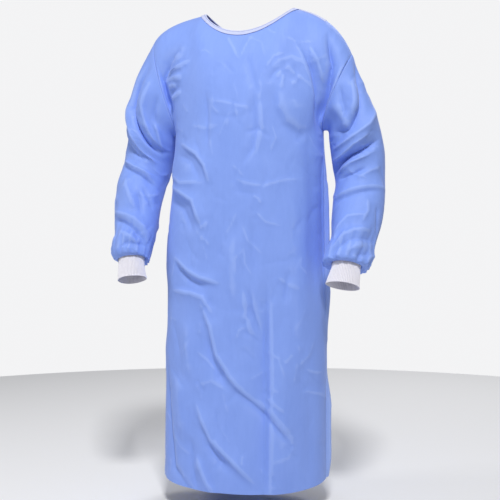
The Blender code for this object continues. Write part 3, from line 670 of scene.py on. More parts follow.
@dataclass(frozen=True)
class Tape:
    """Woven or bonded tape: fine cross ribs, a soft weave and a row of stitches along each edge."""

    name: str
    colour: Colour
    shade: Colour
    thread: Colour
    stitch_line: float = 0.0018
    stitch_length: float = 0.0056
    rib_pitch: float = 0.0012
    strength: float = 0.75

    def make(self) -> bpy.types.Material:
        """Builds the material.

        Returns:
            The material.
        """
        nodes = Nodes(self.name)
        place, across, along = nodes.on_cloth()
        _, gap, _ = nodes.on_cloth("edges")
        rib = (along * (2.0 * math.pi / self.rib_pitch)).sine()
        weft = (across * (2.0 * math.pi / self.rib_pitch)).sine()
        weave = rib * weft
        fuzz = nodes.noise(place, 700.0, 3.0)
        cloud = nodes.noise(place, 45.0, 3.0)
        dash = (along / self.stitch_length).fraction().under(0.58)
        sewn = gap.between(self.stitch_line - 0.00055, self.stitch_line + 0.00055, 0.0003) * dash
        colour = nodes.blend((cloud - 0.5) * 0.5 + 0.30 + weave * 0.08, self.colour, self.shade)
        colour = nodes.blend(sewn * self.strength, colour, self.thread)
        woven = nodes.relief(weave + fuzz * 0.8, 0.00012, 0.6)
        soft = nodes.relief(cloud, 0.0009, 0.5, woven)
        sunk = nodes.relief(sewn * -1.0, 0.00045, 0.9, soft)
        return nodes.finish(colour, fuzz * 0.12 + 0.66, sunk,
                            {"Specular IOR Level": 0.25, "Sheen Weight": 0.15, "Sheen Roughness": 0.5})


@dataclass(frozen=True)
class HookTab:
    """Hook-and-loop tape: a field of tiny hooks inside a plain stitched selvedge."""

    name: str
    colour: Colour
    shade: Colour
    thread: Colour
    hook_pitch: float = 0.0017
    selvedge: float = 0.0026

    def make(self) -> bpy.types.Material:
        """Builds the material.

        Returns:
            The material.
        """
        nodes = Nodes(self.name)
        place, across, along = nodes.on_cloth()
        _, gap, _ = nodes.on_cloth("edges")
        hooks = nodes.add("ShaderNodeTexVoronoi", {}, {"Vector": place, "Scale": 1.0 / self.hook_pitch,
                                                        "Randomness": 0.55}, "Distance")
        field = gap.between(self.selvedge, 1.0, 0.0004)
        dots = hooks.between(-1.0, 0.36, 0.14) * field
        dash = ((across + along) / 0.0040).fraction().under(0.6)
        sewn = gap.between(0.0011, 0.0019, 0.0003) * dash
        fuzz = nodes.noise(place, 1100.0, 3.0)
        colour = nodes.blend(field * 0.45 - dots * 0.40 + (fuzz - 0.5) * 0.4, self.colour, self.shade)
        colour = nodes.blend(sewn * 0.7, colour, self.thread)
        raised = nodes.relief(dots + fuzz * 0.3, 0.00045, 0.9)
        sunk = nodes.relief(sewn * -1.0, 0.0004, 0.8, raised)
        return nodes.finish(colour, fuzz * 0.15 + 0.62, sunk,
                            {"Specular IOR Level": 0.30, "Sheen Weight": 0.2})


@dataclass(frozen=True)
class PaleFloor:
    """A plain pale floor."""

    name: str = "pale_floor"
    colour: Colour = (0.86, 0.86, 0.87)

    def make(self) -> bpy.types.Material:
        """Builds the material.

        Returns:
            The material.
        """
        nodes = Nodes(self.name)
        place = nodes.add("ShaderNodeTexCoord", {}, {}, "Object")
        grain = nodes.noise(place, 60.0, 2.0)
        colour = nodes.blend(grain * 0.04, self.colour, (0.82, 0.82, 0.84))
        return nodes.finish(colour, 0.85, nodes.relief(grain, 0.0002, 0.1), {"Specular IOR Level": 0.15})


def place_mesh(name: str, bm: bmesh.types.BMesh, finish: bpy.types.Material) -> bpy.types.Object:
    """Puts a finished bmesh into the scene and frees it.

    Args:
        name: the object's name.
        bm: the bmesh.
        finish: its material.

    Returns:
        The object.
    """
    mesh = bpy.data.meshes.new(name)
    bm.to_mesh(mesh)
    bm.free()
    mesh.materials.append(finish)
    placed = bpy.data.objects.new(name, mesh)
    bpy.context.scene.collection.objects.link(placed)
    return placed


class Cloth:
    """A cloth piece: the points of its middle surface, its normals, and where each point is on it."""

    def __init__(self, name: str, points: Array, flip: bool = False, closed: bool = False,
                 wall: float = WALL) -> None:
        """Keeps the grid and works out its normals.

        Args:
            name: the piece's name.
            points: its grid, rows by columns by 3.
            flip: whether the grid's own normals point inwards.
            closed: whether its last column is the first one again.
            wall: how thick it is.
        """
        self.name = name
        self.points = points
        self.flip = flip
        self.closed = closed
        self.wall = wall
        # Crest heights in millimetres, from which the material paints highlights on crests and shade in
        # troughs.
        self.fold = np.zeros(points.shape[:2])
        self.settle()

    def settle(self) -> None:
        """Works the normals out again once the points have moved."""
        self.normals = grid_normals(self.points, self.closed) * (-1.0 if self.flip else 1.0)
        self.lift = self.normals * self.wall / 2.0

    def raise_by(self, lift: Array) -> None:
        """Moves each point out along its normal.

        Args:
            lift: how far, for each point, in metres.
        """
        self.points = self.points + self.normals * lift[..., None]
        self.fold = crests(lift)
        self.settle()

    def mirror(self) -> "Cloth":
        """Moves the piece to the wearer's other side.

        Returns:
            The same piece.
        """
        over = np.array([-1.0, 1.0, 1.0])
        self.points, self.normals, self.lift = self.points * over, self.normals * over, self.lift * over
        return self

    def lean(self) -> "Cloth":
        """Moves what is below the chest a little towards the wearer's right."""
        self.points[..., 0] -= LEAN * ease((LEAN_START - self.points[..., 2]) / LEAN_RUN)
        return self

    def area(self) -> float:
        """The area of its middle surface, in square metres."""
        across, up = np.diff(self.points, axis=1)[:-1], np.diff(self.points, axis=0)[:, :-1]
        return float(np.linalg.norm(np.cross(across, up), axis=-1).sum())

    def measured(self) -> tuple[float, float]:
        """The longest way across it and the longest way along it, on the cloth."""
        return float(walked(self.points, 1)[:, -1].max()), float(walked(self.points, 0)[-1].max())

    def place_maps(self) -> tuple[Array, Array]:
        """Its two maps: the place on the cloth, and how far the nearest side and top edge are.

        Returns:
            Both maps, in metres.
        """
        across = walked(self.points, 1)
        along = walked(self.points, 0)
        middle = across - across[:, -1:] / 2.0
        side_gap = np.minimum(across, across[:, -1:] - across)
        end_gap = along[-1:] - along
        return np.stack([middle, along], axis=-1), np.stack([side_gap, end_gap], axis=-1)

    def build(self, finish: bpy.types.Material, maps: tuple[Array, Array] | None = None) -> bpy.types.Object:
        """Makes the piece: its inner face as a grid, extruded to its outer face.

        Args:
            finish: its material.
            maps: its two maps, where they aren't the usual ones.

        Returns:
            The finished object.
        """
        rows, columns = self.points.shape[:2]
        place, edges = maps if maps is not None else self.place_maps()
        place, edges, fold = place.reshape(-1, 2), edges.reshape(-1, 2), self.fold.reshape(-1)
        inner = (self.points - self.lift).reshape(-1, 3)
        outer = (self.points + self.lift).reshape(-1, 3)
        bm = bmesh.new()
        bmesh.ops.create_grid(bm, x_segments=columns - 1, y_segments=rows - 1, size=0.5)
        number = bm.verts.layers.int.new("number")
        cloth_map = bm.loops.layers.uv.new("cloth")
        edge_map = bm.loops.layers.uv.new("edges")
        # The fold map carries the crest heights for the painted fold highlights and shade.
        fold_map = bm.loops.layers.uv.new("fold")
        for count, vert in enumerate(bm.verts):
            vert[number] = count
            vert.co = inner[count]
        for face in bm.faces:
            for loop in face.loops:
                at = loop.vert[number]
                loop[cloth_map].uv = place[at]
                loop[edge_map].uv = edges[at]
                loop[fold_map].uv = (fold[at], 0.0)
        bmesh.ops.remove_doubles(bm, verts=bm.verts, dist=WELD)
        made = bmesh.ops.extrude_face_region(bm, geom=bm.faces[:])
        for vert in made["geom"]:
            if isinstance(vert, bmesh.types.BMVert):
                vert.co = outer[vert[number]]
        bmesh.ops.recalc_face_normals(bm, faces=bm.faces)
        bm.verts.layers.int.remove(number)
        placed = place_mesh(self.name, bm, finish)
        placed.data.shade_smooth()
        placed.data.set_sharp_from_angle(angle=SHARP_ANGLE)
        return placed


def dress(piece: bpy.types.Object, node: str) -> None:
    """Puts a piece in its solid's place.

    Args:
        piece: its object.
        node: the solid that it replaces.
    """
    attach(piece, "root")
    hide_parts(node)
    triangles = sum(len(face.vertices) - 2 for face in piece.data.polygons)
    LOG.info("%s: %d triangles", piece.name, triangles)


@dataclass(frozen=True)
class BodyForm:
    """The worn body's form: its sections, neckline, shoulder seams and the columns between them."""

    side_seam_y: float = -0.014
    underarm: float = -0.325
    hem: float = -1.226
    hem_dip: float = 0.016
    section_power: float = 0.90
    neck_half_width: float = 0.122
    neck_side_y: float = 0.0
    neck_front: tuple[float, float, float] = (-0.095, 0.074, 1.7)
    neck_back: tuple[float, float, float] = (0.090, 0.046, 1.6)
    neck_share: float = 0.42
    neck_spread: float = 0.036
    spread_end: float = 0.80
    chest_rise: float = 0.115
    chest_handle: tuple[float, float] = (0.068, 0.036)
    shoulder_handles: tuple[tuple[float, float], ...] = ((0.092, -0.026), (0.076, 0.022))
    armhole_handles: tuple[tuple[float, float], ...] = ((0.076, -0.046), (0.078, -0.024))
    neck_handles: tuple[tuple[float, float], ...] = ((0.036, -0.060), (0.020, -0.060))
    armhole_lean: float = 0.008
    armhole_sharpness: int = 7
    heights: tuple[float, ...] = (-1.240, -1.050, -0.850, -0.630, -0.450, -0.325)
    half_widths: tuple[float, ...] = (0.217, 0.217, 0.216, 0.213, 0.203, 0.198)
    front_depths: tuple[float, ...] = (0.158, 0.152, 0.147, 0.144, 0.142, 0.139)
    back_depths: tuple[float, ...] = (0.142, 0.136, 0.128, 0.121, 0.118, 0.119)
    seam_ends: tuple[tuple[float, ...], ...] = ((0.275, -0.018, -0.132), (0.266, -0.018, -0.068))
    seam_neck_handles: tuple[tuple[float, ...], ...] = ((0.062, 0.0, -0.015), (0.075, 0.0, -0.012))
    seam_end_handles: tuple[tuple[float, ...], ...] = ((-0.0335, 0.0, 0.080), (-0.025, 0.0, 0.036))

    def ring(self, place: Array, height: Array, back: bool) -> Array:
        """Points of the body's section: place runs from -1 to 1 round its front or back.

        Args:
            place: places round the body.
            height: their heights.
            back: whether it is the back.

        Returns:
            The points.
        """
        half_width = through(self.heights, self.half_widths, height)
        depth = through(self.heights, self.back_depths if back else self.front_depths, height)
        turn = place * math.pi / 2.0
        x = half_width * np.sign(place) * np.abs(np.sin(turn)) ** self.section_power
        y = depth * np.abs(np.cos(turn)) ** self.section_power
        return np.stack([x, self.side_seam_y + (y if back else -y), height + 0.0 * place], axis=-1)

    def neckline(self, place: Array, back: bool) -> Array:
        """Points of the neckline: place 0 is its middle.

        Args:
            place: places round the body.
            back: whether it is the back.

        Returns:
            The points.
        """
        turn = place / self.neck_share * math.pi / 2.0
        middle_y, drop, power = self.neck_back if back else self.neck_front
        fall = np.abs(np.cos(turn))
        y = self.neck_side_y + (middle_y - self.neck_side_y) * fall
        return np.stack([self.neck_half_width * np.sin(turn), y, -drop * fall ** power], axis=-1)

    def shoulder_seam(self, place: Array) -> Array:
        """Points of the shoulder seam, from the neck to the armhole at 1.

        Args:
            place: places round the body.

        Returns:
            The points.
        """
        t = np.clip((np.abs(place) - self.neck_share) / (1.0 - self.neck_share), 0.0, 1.0)[..., None]
        neck = np.array([self.neck_half_width, self.neck_side_y, 0.0])
        seams = [bezier(neck, np.array(first), np.array(last), np.array(end), t)
                 for end, first, last in zip(self.seam_ends, self.seam_neck_handles, self.seam_end_handles)]
        points = np.where((place > 0.0)[..., None], seams[0], seams[1])
        points[..., 0] *= np.sign(place)
        return points

    def top(self, place: Array, back: bool) -> Array:
        """Points of a panel's top edge: the neckline with a shoulder seam on each side."""
        on_neck = (np.abs(place) < self.neck_share)[..., None]
        return np.where(on_neck, self.neckline(place, back), self.shoulder_seam(place))

    def handles(self, place: Array, back: bool) -> tuple[Array, Array]:
        """The handles of each column over the chest or the shoulder blade, at its foot and top.

        Args:
            place: places round the body.
            back: whether it is the back.

        Returns:
            The foot's and the top's handles, as offsets.
        """
        part = 1 if back else 0
        away = 1.0 if back else -1.0
        side = np.sign(place)
        at_armhole = (np.abs(place) ** self.armhole_sharpness)[..., None]
        at_neck = ease(1.0 - np.abs(place) / self.neck_share)[..., None]

        def handle(sideways: Array | float, out: float, rise: float) -> Array:
            """An offset sideways, out and up, for each column."""
            return np.stack([sideways + 0.0 * place, away * out + 0.0 * place, rise + 0.0 * place], axis=-1)

        inside = np.sin(np.clip(np.abs(place) / self.neck_share, 0.0, 1.0) * math.pi / 2.0)
        spread = inside * ease((self.spread_end - np.abs(place)) / (self.spread_end - self.neck_share))
        first = handle(0.0, 0.0, self.chest_rise) * (1.0 - at_armhole)
        first = first + handle(0.0, *self.chest_handle) * at_armhole
        last = handle(0.0, *self.shoulder_handles[part]) * (1.0 - at_armhole)
        last = last + handle(-self.armhole_lean * side, *self.armhole_handles[part]) * at_armhole
        last = last * (1.0 - at_neck) + handle(0.0, *self.neck_handles[part]) * at_neck
        last[..., 0] += side * self.neck_spread * spread
        return first, last

    def surface(self, place: Array, row: Array, back: bool) -> Array:
        """Middle surface of the front or back.

        Args:
            place: places round it, from -1 to 1.
            row: 0 at the hem, 1 under the arm and 2 on top.
            back: whether it is the back.

        Returns:
            The points at those places and rows.
        """
        dip = 0.0 if back else self.hem_dip * np.cos(place * math.pi / 2.0)
        hem = self.hem - dip
        height = hem + (self.underarm - hem) * np.clip(row, 0.0, 1.0)
        below = self.ring(place, height, back)
        chest = self.ring(place, self.underarm + 0.0 * place, back)
        first, last = self.handles(place, back)
        t = np.clip(row - 1.0, 0.0, 1.0)[..., None]
        above = bezier(chest, first, last, self.top(place, back), t)
        return np.where((row > 1.0)[..., None], above, below)


FRONT_CREASES: tuple[Crease | Pouch, ...] = creased((
    (((90, -745), (88, -860), (91, -1000), (87, -1250)), 15, -9.5, 0.55),
    (((128, -860), (130, -1000), (124, -1240)), 30, 8.5),
    (((101, -780), (104, -920), (103, -1230)), 8, 3, -0.4),
    (((46, -735), (53, -783), (71, -838)), 8, -4, 0.4),
    (((34, -740), (40, -800), (55, -850)), 11, 4.2),
    (((-72, -783), (-50, -829), (-35, -896), (0, -950), (45, -1001)), 13, 9.5, -0.5),
    (((-60, -860), (-45, -915), (-12, -972)), 12, -5),
    (((20, -985), (60, -1020), (95, -1050), (142, -1114)), 7, -5.2, 0.5),
    (((75, -1010), (110, -1045), (150, -1100)), 11, 4),
    (((87, -998), (129, -1036)), 6, 2.8),
    (((-85, -1033), (-50, -1111), (7, -1159), (55, -1205)), 14, 8.8, -0.5),
    (((-72, -1080), (-40, -1140), (0, -1185)), 11, -4.5),
    (((-87, -1163), (-59, -1219), (-40, -1245)), 11, 7.5, 0.4),
    (((-105, -1120), (-100, -1190), (-85, -1240)), 14, -5),
    (((-156, -657), (-115, -690), (-83, -706), (-36, -717)), 10, 7, -0.5),
    (((-150, -676), (-110, -712), (-70, -730)), 9, -4),
    (((-159, -740), (-110, -745), (-75, -755), (-50, -790)), 10, 6, 0.4),
    (((-151, -362), (-107, -389), (-82, -420), (-69, -458)), 9, 5.5, -0.5),
    (((-165, -385), (-120, -410), (-95, -455)), 11, -3.5),
    (((-186, -470), (-150, -487), (-110, -510), (-83, -572)), 11, 8.5, -0.4),
    (((-182, -505), (-140, -530), (-105, -585)), 12, -4.5),
    (((-184, -380), (-186, -440), (-150, -462), (-95, -462)), 11, 4),
    (((-66, -256), (-30, -262), (10, -274), (44, -280)), 7, 1.3, 0.5),
    (((-62, -292), (-20, -300), (20, -298)), 12, -1.4),
    (((-80, -240), (-75, -300), (-75, -375)), 8, -3.2, 0.3),
    (((47, -250), (52, -330), (44, -380), (22, -415)), 10, -4.2, 0.3),
    (((64, -260), (68, -330), (56, -390)), 11, 3.2),
    (((-34, -88), (-14, -120), (2, -150)), 9, 1.8, 0.4),
    (((34, -86), (18, -118), (6, -150)), 9, 1.4, -0.4),
    (((27, -146), (40, -190), (54, -235)), 12, -3.5),
    (((-3, -458), (40, -470), (74, -476), (120, -462), (160, -456)), 8, 1.4, 0.5),
    (((-197, -930), (-186, -1030), (-178, -1100), (-164, -1195), (-119, -1232)), 12, -7.5, 0.4),
    (((-205, -700), (-208, -800), (-204, -880)), 12, -4.5),
    (((-150, -960), (-140, -1040), (-128, -1110)), 24, 6),
    (((-120, -820), (-116, -900), (-108, -960)), 20, 4.8),
    (((172, -345), (186, -420), (196, -520), (205, -800)), 22, -6.4, -0.3),
    (((142, -480), (152, -620), (158, -780), (160, -920)), 28, 6.5),
    (((140, -690), (135, -725), (132, -765)), 8, -3),
    (((60, -560), (52, -640), (58, -700)), 16, -3),
    (((10, -600), (4, -680), (12, -760)), 22, 4),
    (((186, -960), (192, -1060), (188, -1220)), 18, -3.4),
    (((86, -184), (106, -162), (135, -151), (168, -168), (184, -215)), 12, 2.2, 0.5),
    (((84, -214), (98, -190), (124, -180)), 6, -2.6),
    (((104, -206), (112, -186), (134, -176)), 5, 2.4),
    (((118, -196), (115, -212), (112, -232)), 5, 2),
    (((136, -222), (146, -212), (156, -196)), 5, 2.2),
    (((76, -178), (94, -150), (120, -140)), 8, 2.2, -0.4),
    (((94, -230), (98, -280), (118, -322), (150, -345), (176, -338)), 16, -5.2, 0.4),
    (((142, -115), (160, -150), (178, -190), (188, -262)), 9, 4, 0.5),
    (((170, -150), (184, -188), (193, -240), (192, -312)), 8.5, -11.5, -0.3),
    (((178, -124), (196, -160), (209, -208)), 9, 6),
    (((222, -95), (234, -165), (219, -237), (198, -318)), 11, -15, -0.3),
    (((120, -98), (150, -110), (190, -108)), 10, 1.6),
    (((-178, -118), (-206, -146), (-226, -184), (-217, -223), (-204, -265)), 12, -12.5, 0.3),
    (((-210, -150), (-190, -134), (-170, -119)), 6, 5),
    (((-206, -170), (-172, -158), (-136, -146)), 6, 5.4),
    (((-200, -160), (-172, -147), (-146, -138)), 5, -3.6),
    (((-202, -184), (-180, -184), (-158, -188)), 6, 4.2),
    (((-204, -176), (-180, -171), (-156, -168)), 5, -3.4),
    (((-206, -204), (-190, -202), (-176, -206)), 6, 4),
    (((-196, -240), (-178, -230), (-160, -221)), 7, 4.6),
    (((-200, -222), (-182, -216), (-166, -212)), 6, -3.4),
    (((-150, -90), (-170, -150), (-162, -200)), 22, 4),
)) + (Pouch((-0.15, -0.42), (0.04, 0.05), 0.0045), Pouch((0.143, -0.245), (0.056, 0.096), 0.0105))

BACK_CREASES: tuple[Crease | Pouch, ...] = creased((
    (((212, -420), (210, -600), (214, -830)), 22, 8.5),
    (((196, -500), (192, -660), (198, -780)), 9, -4.5, 0.4),
    (((212, -980), (210, -1100), (216, -1230)), 22, 8.5),
    (((-208, -430), (-206, -600), (-212, -760)), 22, 6.5),
    (((-212, -800), (-208, -1000), (-216, -1230)), 24, 8.5),
    (((-192, -900), (-188, -1020), (-194, -1120)), 9, -4.2, -0.4),
    (((178, -280), (152, -330), (118, -388)), 13, 8.5, 0.4),
    (((190, -310), (165, -360), (140, -400)), 9, -4.5),
    (((-175, -270), (-150, -330), (-120, -388)), 14, 8.5, -0.4),
    (((-186, -330), (-160, -372), (-130, -402)), 8, -4),
    (((120, -480), (136, -680), (142, -920)), 20, -8),
    (((105, -470), (112, -560), (118, -640)), 9, 4.2),
    (((60, -640), (66, -900), (60, -1240)), 26, 9.2),
    (((84, -700), (92, -940), (86, -1180)), 10, -4.5, 0.4),
    (((-120, -520), (-132, -860), (-128, -1240)), 22, 9.2),
    (((-96, -560), (-104, -800), (-100, -1060)), 10, -5, -0.4),
    (((-20, -740), (-26, -960), (-22, -1240)), 24, -8),
    (((-150, -600), (-160, -800), (-168, -1060)), 18, -7),
    (((150, -940), (142, -1060), (130, -1240)), 20, 8),
    (((60, -150), (90, -200), (100, -270)), 12, 4, 0.4),
    (((-50, -140), (-85, -190), (-100, -250)), 12, 4.4, -0.4),
    (((205, -150), (180, -185), (150, -200)), 8, 4.2),
    (((-205, -160), (-175, -190), (-150, -212)), 8, 4.2),
    (((200, -230), (170, -245), (140, -248)), 8, -3.6),
    (((90, -452), (120, -478), (142, -505)), 8, 4),
    (((-90, -450), (-118, -480), (-138, -512)), 8, 4),
    (((30, -460), (42, -510), (48, -580)), 9, 3.6),
    (((-40, -466), (-52, -520), (-56, -600)), 9, -3.6),
))


@dataclass
class Body:
    """The front and the two back panels, which lap at centre back."""

    form: BodyForm
    lap_at_neck: float = 0.14
    lap_at_waist: float = 0.30
    lap_at_hem: float = 0.32
    lap_depth: float = 0.0056
    lap_run: float = 0.20
    side_fade: float = 0.045
    crease_depth: float = 1.30
    top_fade: float = 0.12
    soften_reach: float = 0.36
    soften_passes: int = 110
    crumple_count: int = 120
    front_seed: int = 11
    back_seed: int = 31

    def rows(self) -> Array:
        """The rows of a panel from hem to top."""
        below = np.linspace(0.0, 1.0, CELLS_BELOW_ARM + 1)
        return np.concatenate([below, np.linspace(1.0, 2.0, CELLS_ON_ARMHOLE + 1)[1:]])

    def front_columns(self) -> Array:
        """Places of the front's columns, from the wearer's left at 1 to the right at -1.

        Returns:
            The places.
        """
        share = self.form.neck_share
        shoulder = np.linspace(1.0, share, CELLS_ON_SHOULDER + 1)
        neck = np.linspace(share, -share, CELLS_ON_FRONT_NECK + 1)[1:-1]
        return np.concatenate([shoulder, neck, -shoulder[::-1]])

    def soften(self, points: Array, place: Array, row: Array) -> Array:
        """Spreads the bend below each neck point over the shoulder.

        Args:
            points: a panel's points.
            place: their places round the body.
            row: their rows.

        Returns:
            The points, with the top edge where it was.
        """
        near = ease(1.0 - np.abs(np.abs(place) - self.form.neck_share) / self.soften_reach)
        near = (near * ease((2.0 - row) / 0.16) * ease((row - 0.9) / 0.3))[:, 1:-1, None]
        points = points.copy()
        for _ in range(self.soften_passes):
            middle = (points[:, 2:] + points[:, :-2]) / 2.0
            points[:, 1:-1] += near * 0.5 * (middle - points[:, 1:-1])
        return points

    def edge_fade(self, place: Array, row: Array) -> Array:
        """Lets creases die away at the seams."""
        return ease((1.0 - np.abs(place)) / self.side_fade) * ease((2.0 - row) / self.top_fade)

    def crumples(self, seed: int) -> list[Crease]:
        """Fine creases all over a panel: upright ones, and slanted ones over them.

        Args:
            seed: the seed.

        Returns:
            The creases.
        """
        box = ((-0.21, -1.24), (0.21, -0.06))
        upright = Crumple(seed, self.crumple_count, *box, slant=-math.pi / 2.0, height=0.0017)
        slanted = Crumple(seed + 1, self.crumple_count // 2, *box, slant=-0.75, height=0.0020)
        return upright.creases() + slanted.creases()

    def front(self) -> Cloth:
        """The front, from side seam to side seam.

        Returns:
            The creased panel.
        """
        place, row = np.meshgrid(self.front_columns(), self.rows())
        piece = Cloth("front_cloth_panel", self.soften(self.form.surface(place, row, back=False), place, row))
        x, z = piece.points[..., 0], piece.points[..., 2]
        lift = lift_of(FRONT_CREASES, x, z) * self.crease_depth
        lift = lift + lift_of(self.crumples(self.front_seed), x, z)
        piece.raise_by(lift * self.edge_fade(place, row))
        return piece

    def lap_width(self, row: Array) -> Array:
        """How far a back panel reaches past centre back, as a part of the half width."""
        low = self.lap_at_hem + (self.lap_at_waist - self.lap_at_hem) * ease(row)
        return low + (self.lap_at_neck - low) * ease(row - 1.0)

    def back_row(self, side: float, lap: float) -> Array:
        """Places of a back panel's columns on a row.

        Args:
            side: 1 for the left panel and -1 for the right.
            lap: how far it reaches past the middle.

        Returns:
            The places.
        """
        share = self.form.neck_share
        shoulder = np.linspace(1.0, share, CELLS_ON_SHOULDER + 1)
        beside = np.linspace(share, lap, CELLS_BESIDE_LAP + 1)[1:]
        over = np.linspace(lap, -lap, CELLS_ON_LAP + 1)[1:]
        return side * np.concatenate([shoulder, beside, over])

    def back(self, side: Side) -> Cloth:
        """A back panel, from its side seam past centre back.

        Args:
            side: which panel it is.

        Returns:
            The creased panel.
        """
        sign = side.sign
        rows = self.rows()
        place = np.array([self.back_row(sign, lap) for lap in self.lap_width(rows)])
        row = np.broadcast_to(rows[:, None], place.shape)
        points = self.soften(self.form.surface(place, row, back=True), place, row)
        piece = Cloth(f"back_{side.value}_panel", points, flip=sign > 0)
        x, z = piece.points[..., 0], piece.points[..., 2]
        lift = lift_of(BACK_CREASES, x, z) * self.crease_depth
        lift = lift + lift_of(self.crumples(self.back_seed), x, z)
        lift = lift * self.edge_fade(place, row)
        if side is Side.RIGHT:
            lift = lift - self.lap_depth * ease((place + self.lap_width(row) + self.lap_run) / self.lap_run)
        piece.raise_by(lift)
        return piece

    def dress(self, front: Cloth, backs: tuple[Cloth, Cloth], front_finish: bpy.types.Material,
              back_finish: bpy.types.Material) -> None:
        """Builds the three panels and reports what they measure.

        Args:
            front: the front.
            backs: the left and right back panels.
            front_finish: the front's material.
            back_finish: the back panels' material.
        """
        placed = front.lean().build(front_finish)
        dress(placed, "front")
        declare("front", "hung", front)
        for side, back in zip(Side, backs):
            placed = back.lean().build(back_finish)
            dress(placed, f"back_{side.value}")
            declare(f"back_{side.value}", "hung", back)


SLEEVE_TABLES: dict[Side, dict[str, tuple[float, ...]]] = {
    Side.LEFT: {
        "along": (0.0, 0.10, 0.20, 0.34, 0.46, 0.57, 0.68, 0.77, 0.86, 0.915, 0.96),
        "outer_x": (0.275, 0.299, 0.320, 0.343, 0.354, 0.355, 0.357, 0.353, 0.341, 0.335, 0.331),
        "outer_z": (-0.132, -0.190, -0.245, -0.320, -0.385, -0.448, -0.508, -0.560, -0.612, -0.648, -0.674),
        "inner_x": (0.199, 0.213, 0.214, 0.216, 0.220, 0.229, 0.226, 0.226, 0.228, 0.217, 0.213),
        "inner_z": (-0.325, -0.327, -0.350, -0.385, -0.420, -0.468, -0.518, -0.568, -0.616, -0.646, -0.670),
        "centre_y": (-0.022, -0.018, -0.008, 0.008, 0.017, 0.010, -0.014, -0.038, -0.066, -0.084, -0.097),
        "half_depth": (0.066, 0.071, 0.074, 0.073, 0.069, 0.066, 0.064, 0.062, 0.058, 0.060, 0.056),
    },
    Side.RIGHT: {
        "along": (0.0, 0.10, 0.20, 0.34, 0.46, 0.57, 0.68, 0.77, 0.86, 0.915, 0.96),
        "outer_x": (0.266, 0.302, 0.325, 0.343, 0.354, 0.365, 0.376, 0.373, 0.360, 0.352, 0.351),
        "outer_z": (-0.068, -0.130, -0.188, -0.265, -0.332, -0.398, -0.460, -0.522, -0.582, -0.622, -0.650),
        "inner_x": (0.199, 0.213, 0.216, 0.222, 0.232, 0.243, 0.250, 0.251, 0.250, 0.253, 0.254),
        "inner_z": (-0.325, -0.327, -0.350, -0.380, -0.412, -0.455, -0.508, -0.558, -0.606, -0.634, -0.656),
        "centre_y": (-0.022, -0.018, -0.008, 0.008, 0.017, 0.010, -0.014, -0.038, -0.066, -0.084, -0.097),
        "half_depth": (0.066, 0.071, 0.074, 0.073, 0.069, 0.066, 0.064, 0.062, 0.058, 0.060, 0.056),
    },
}

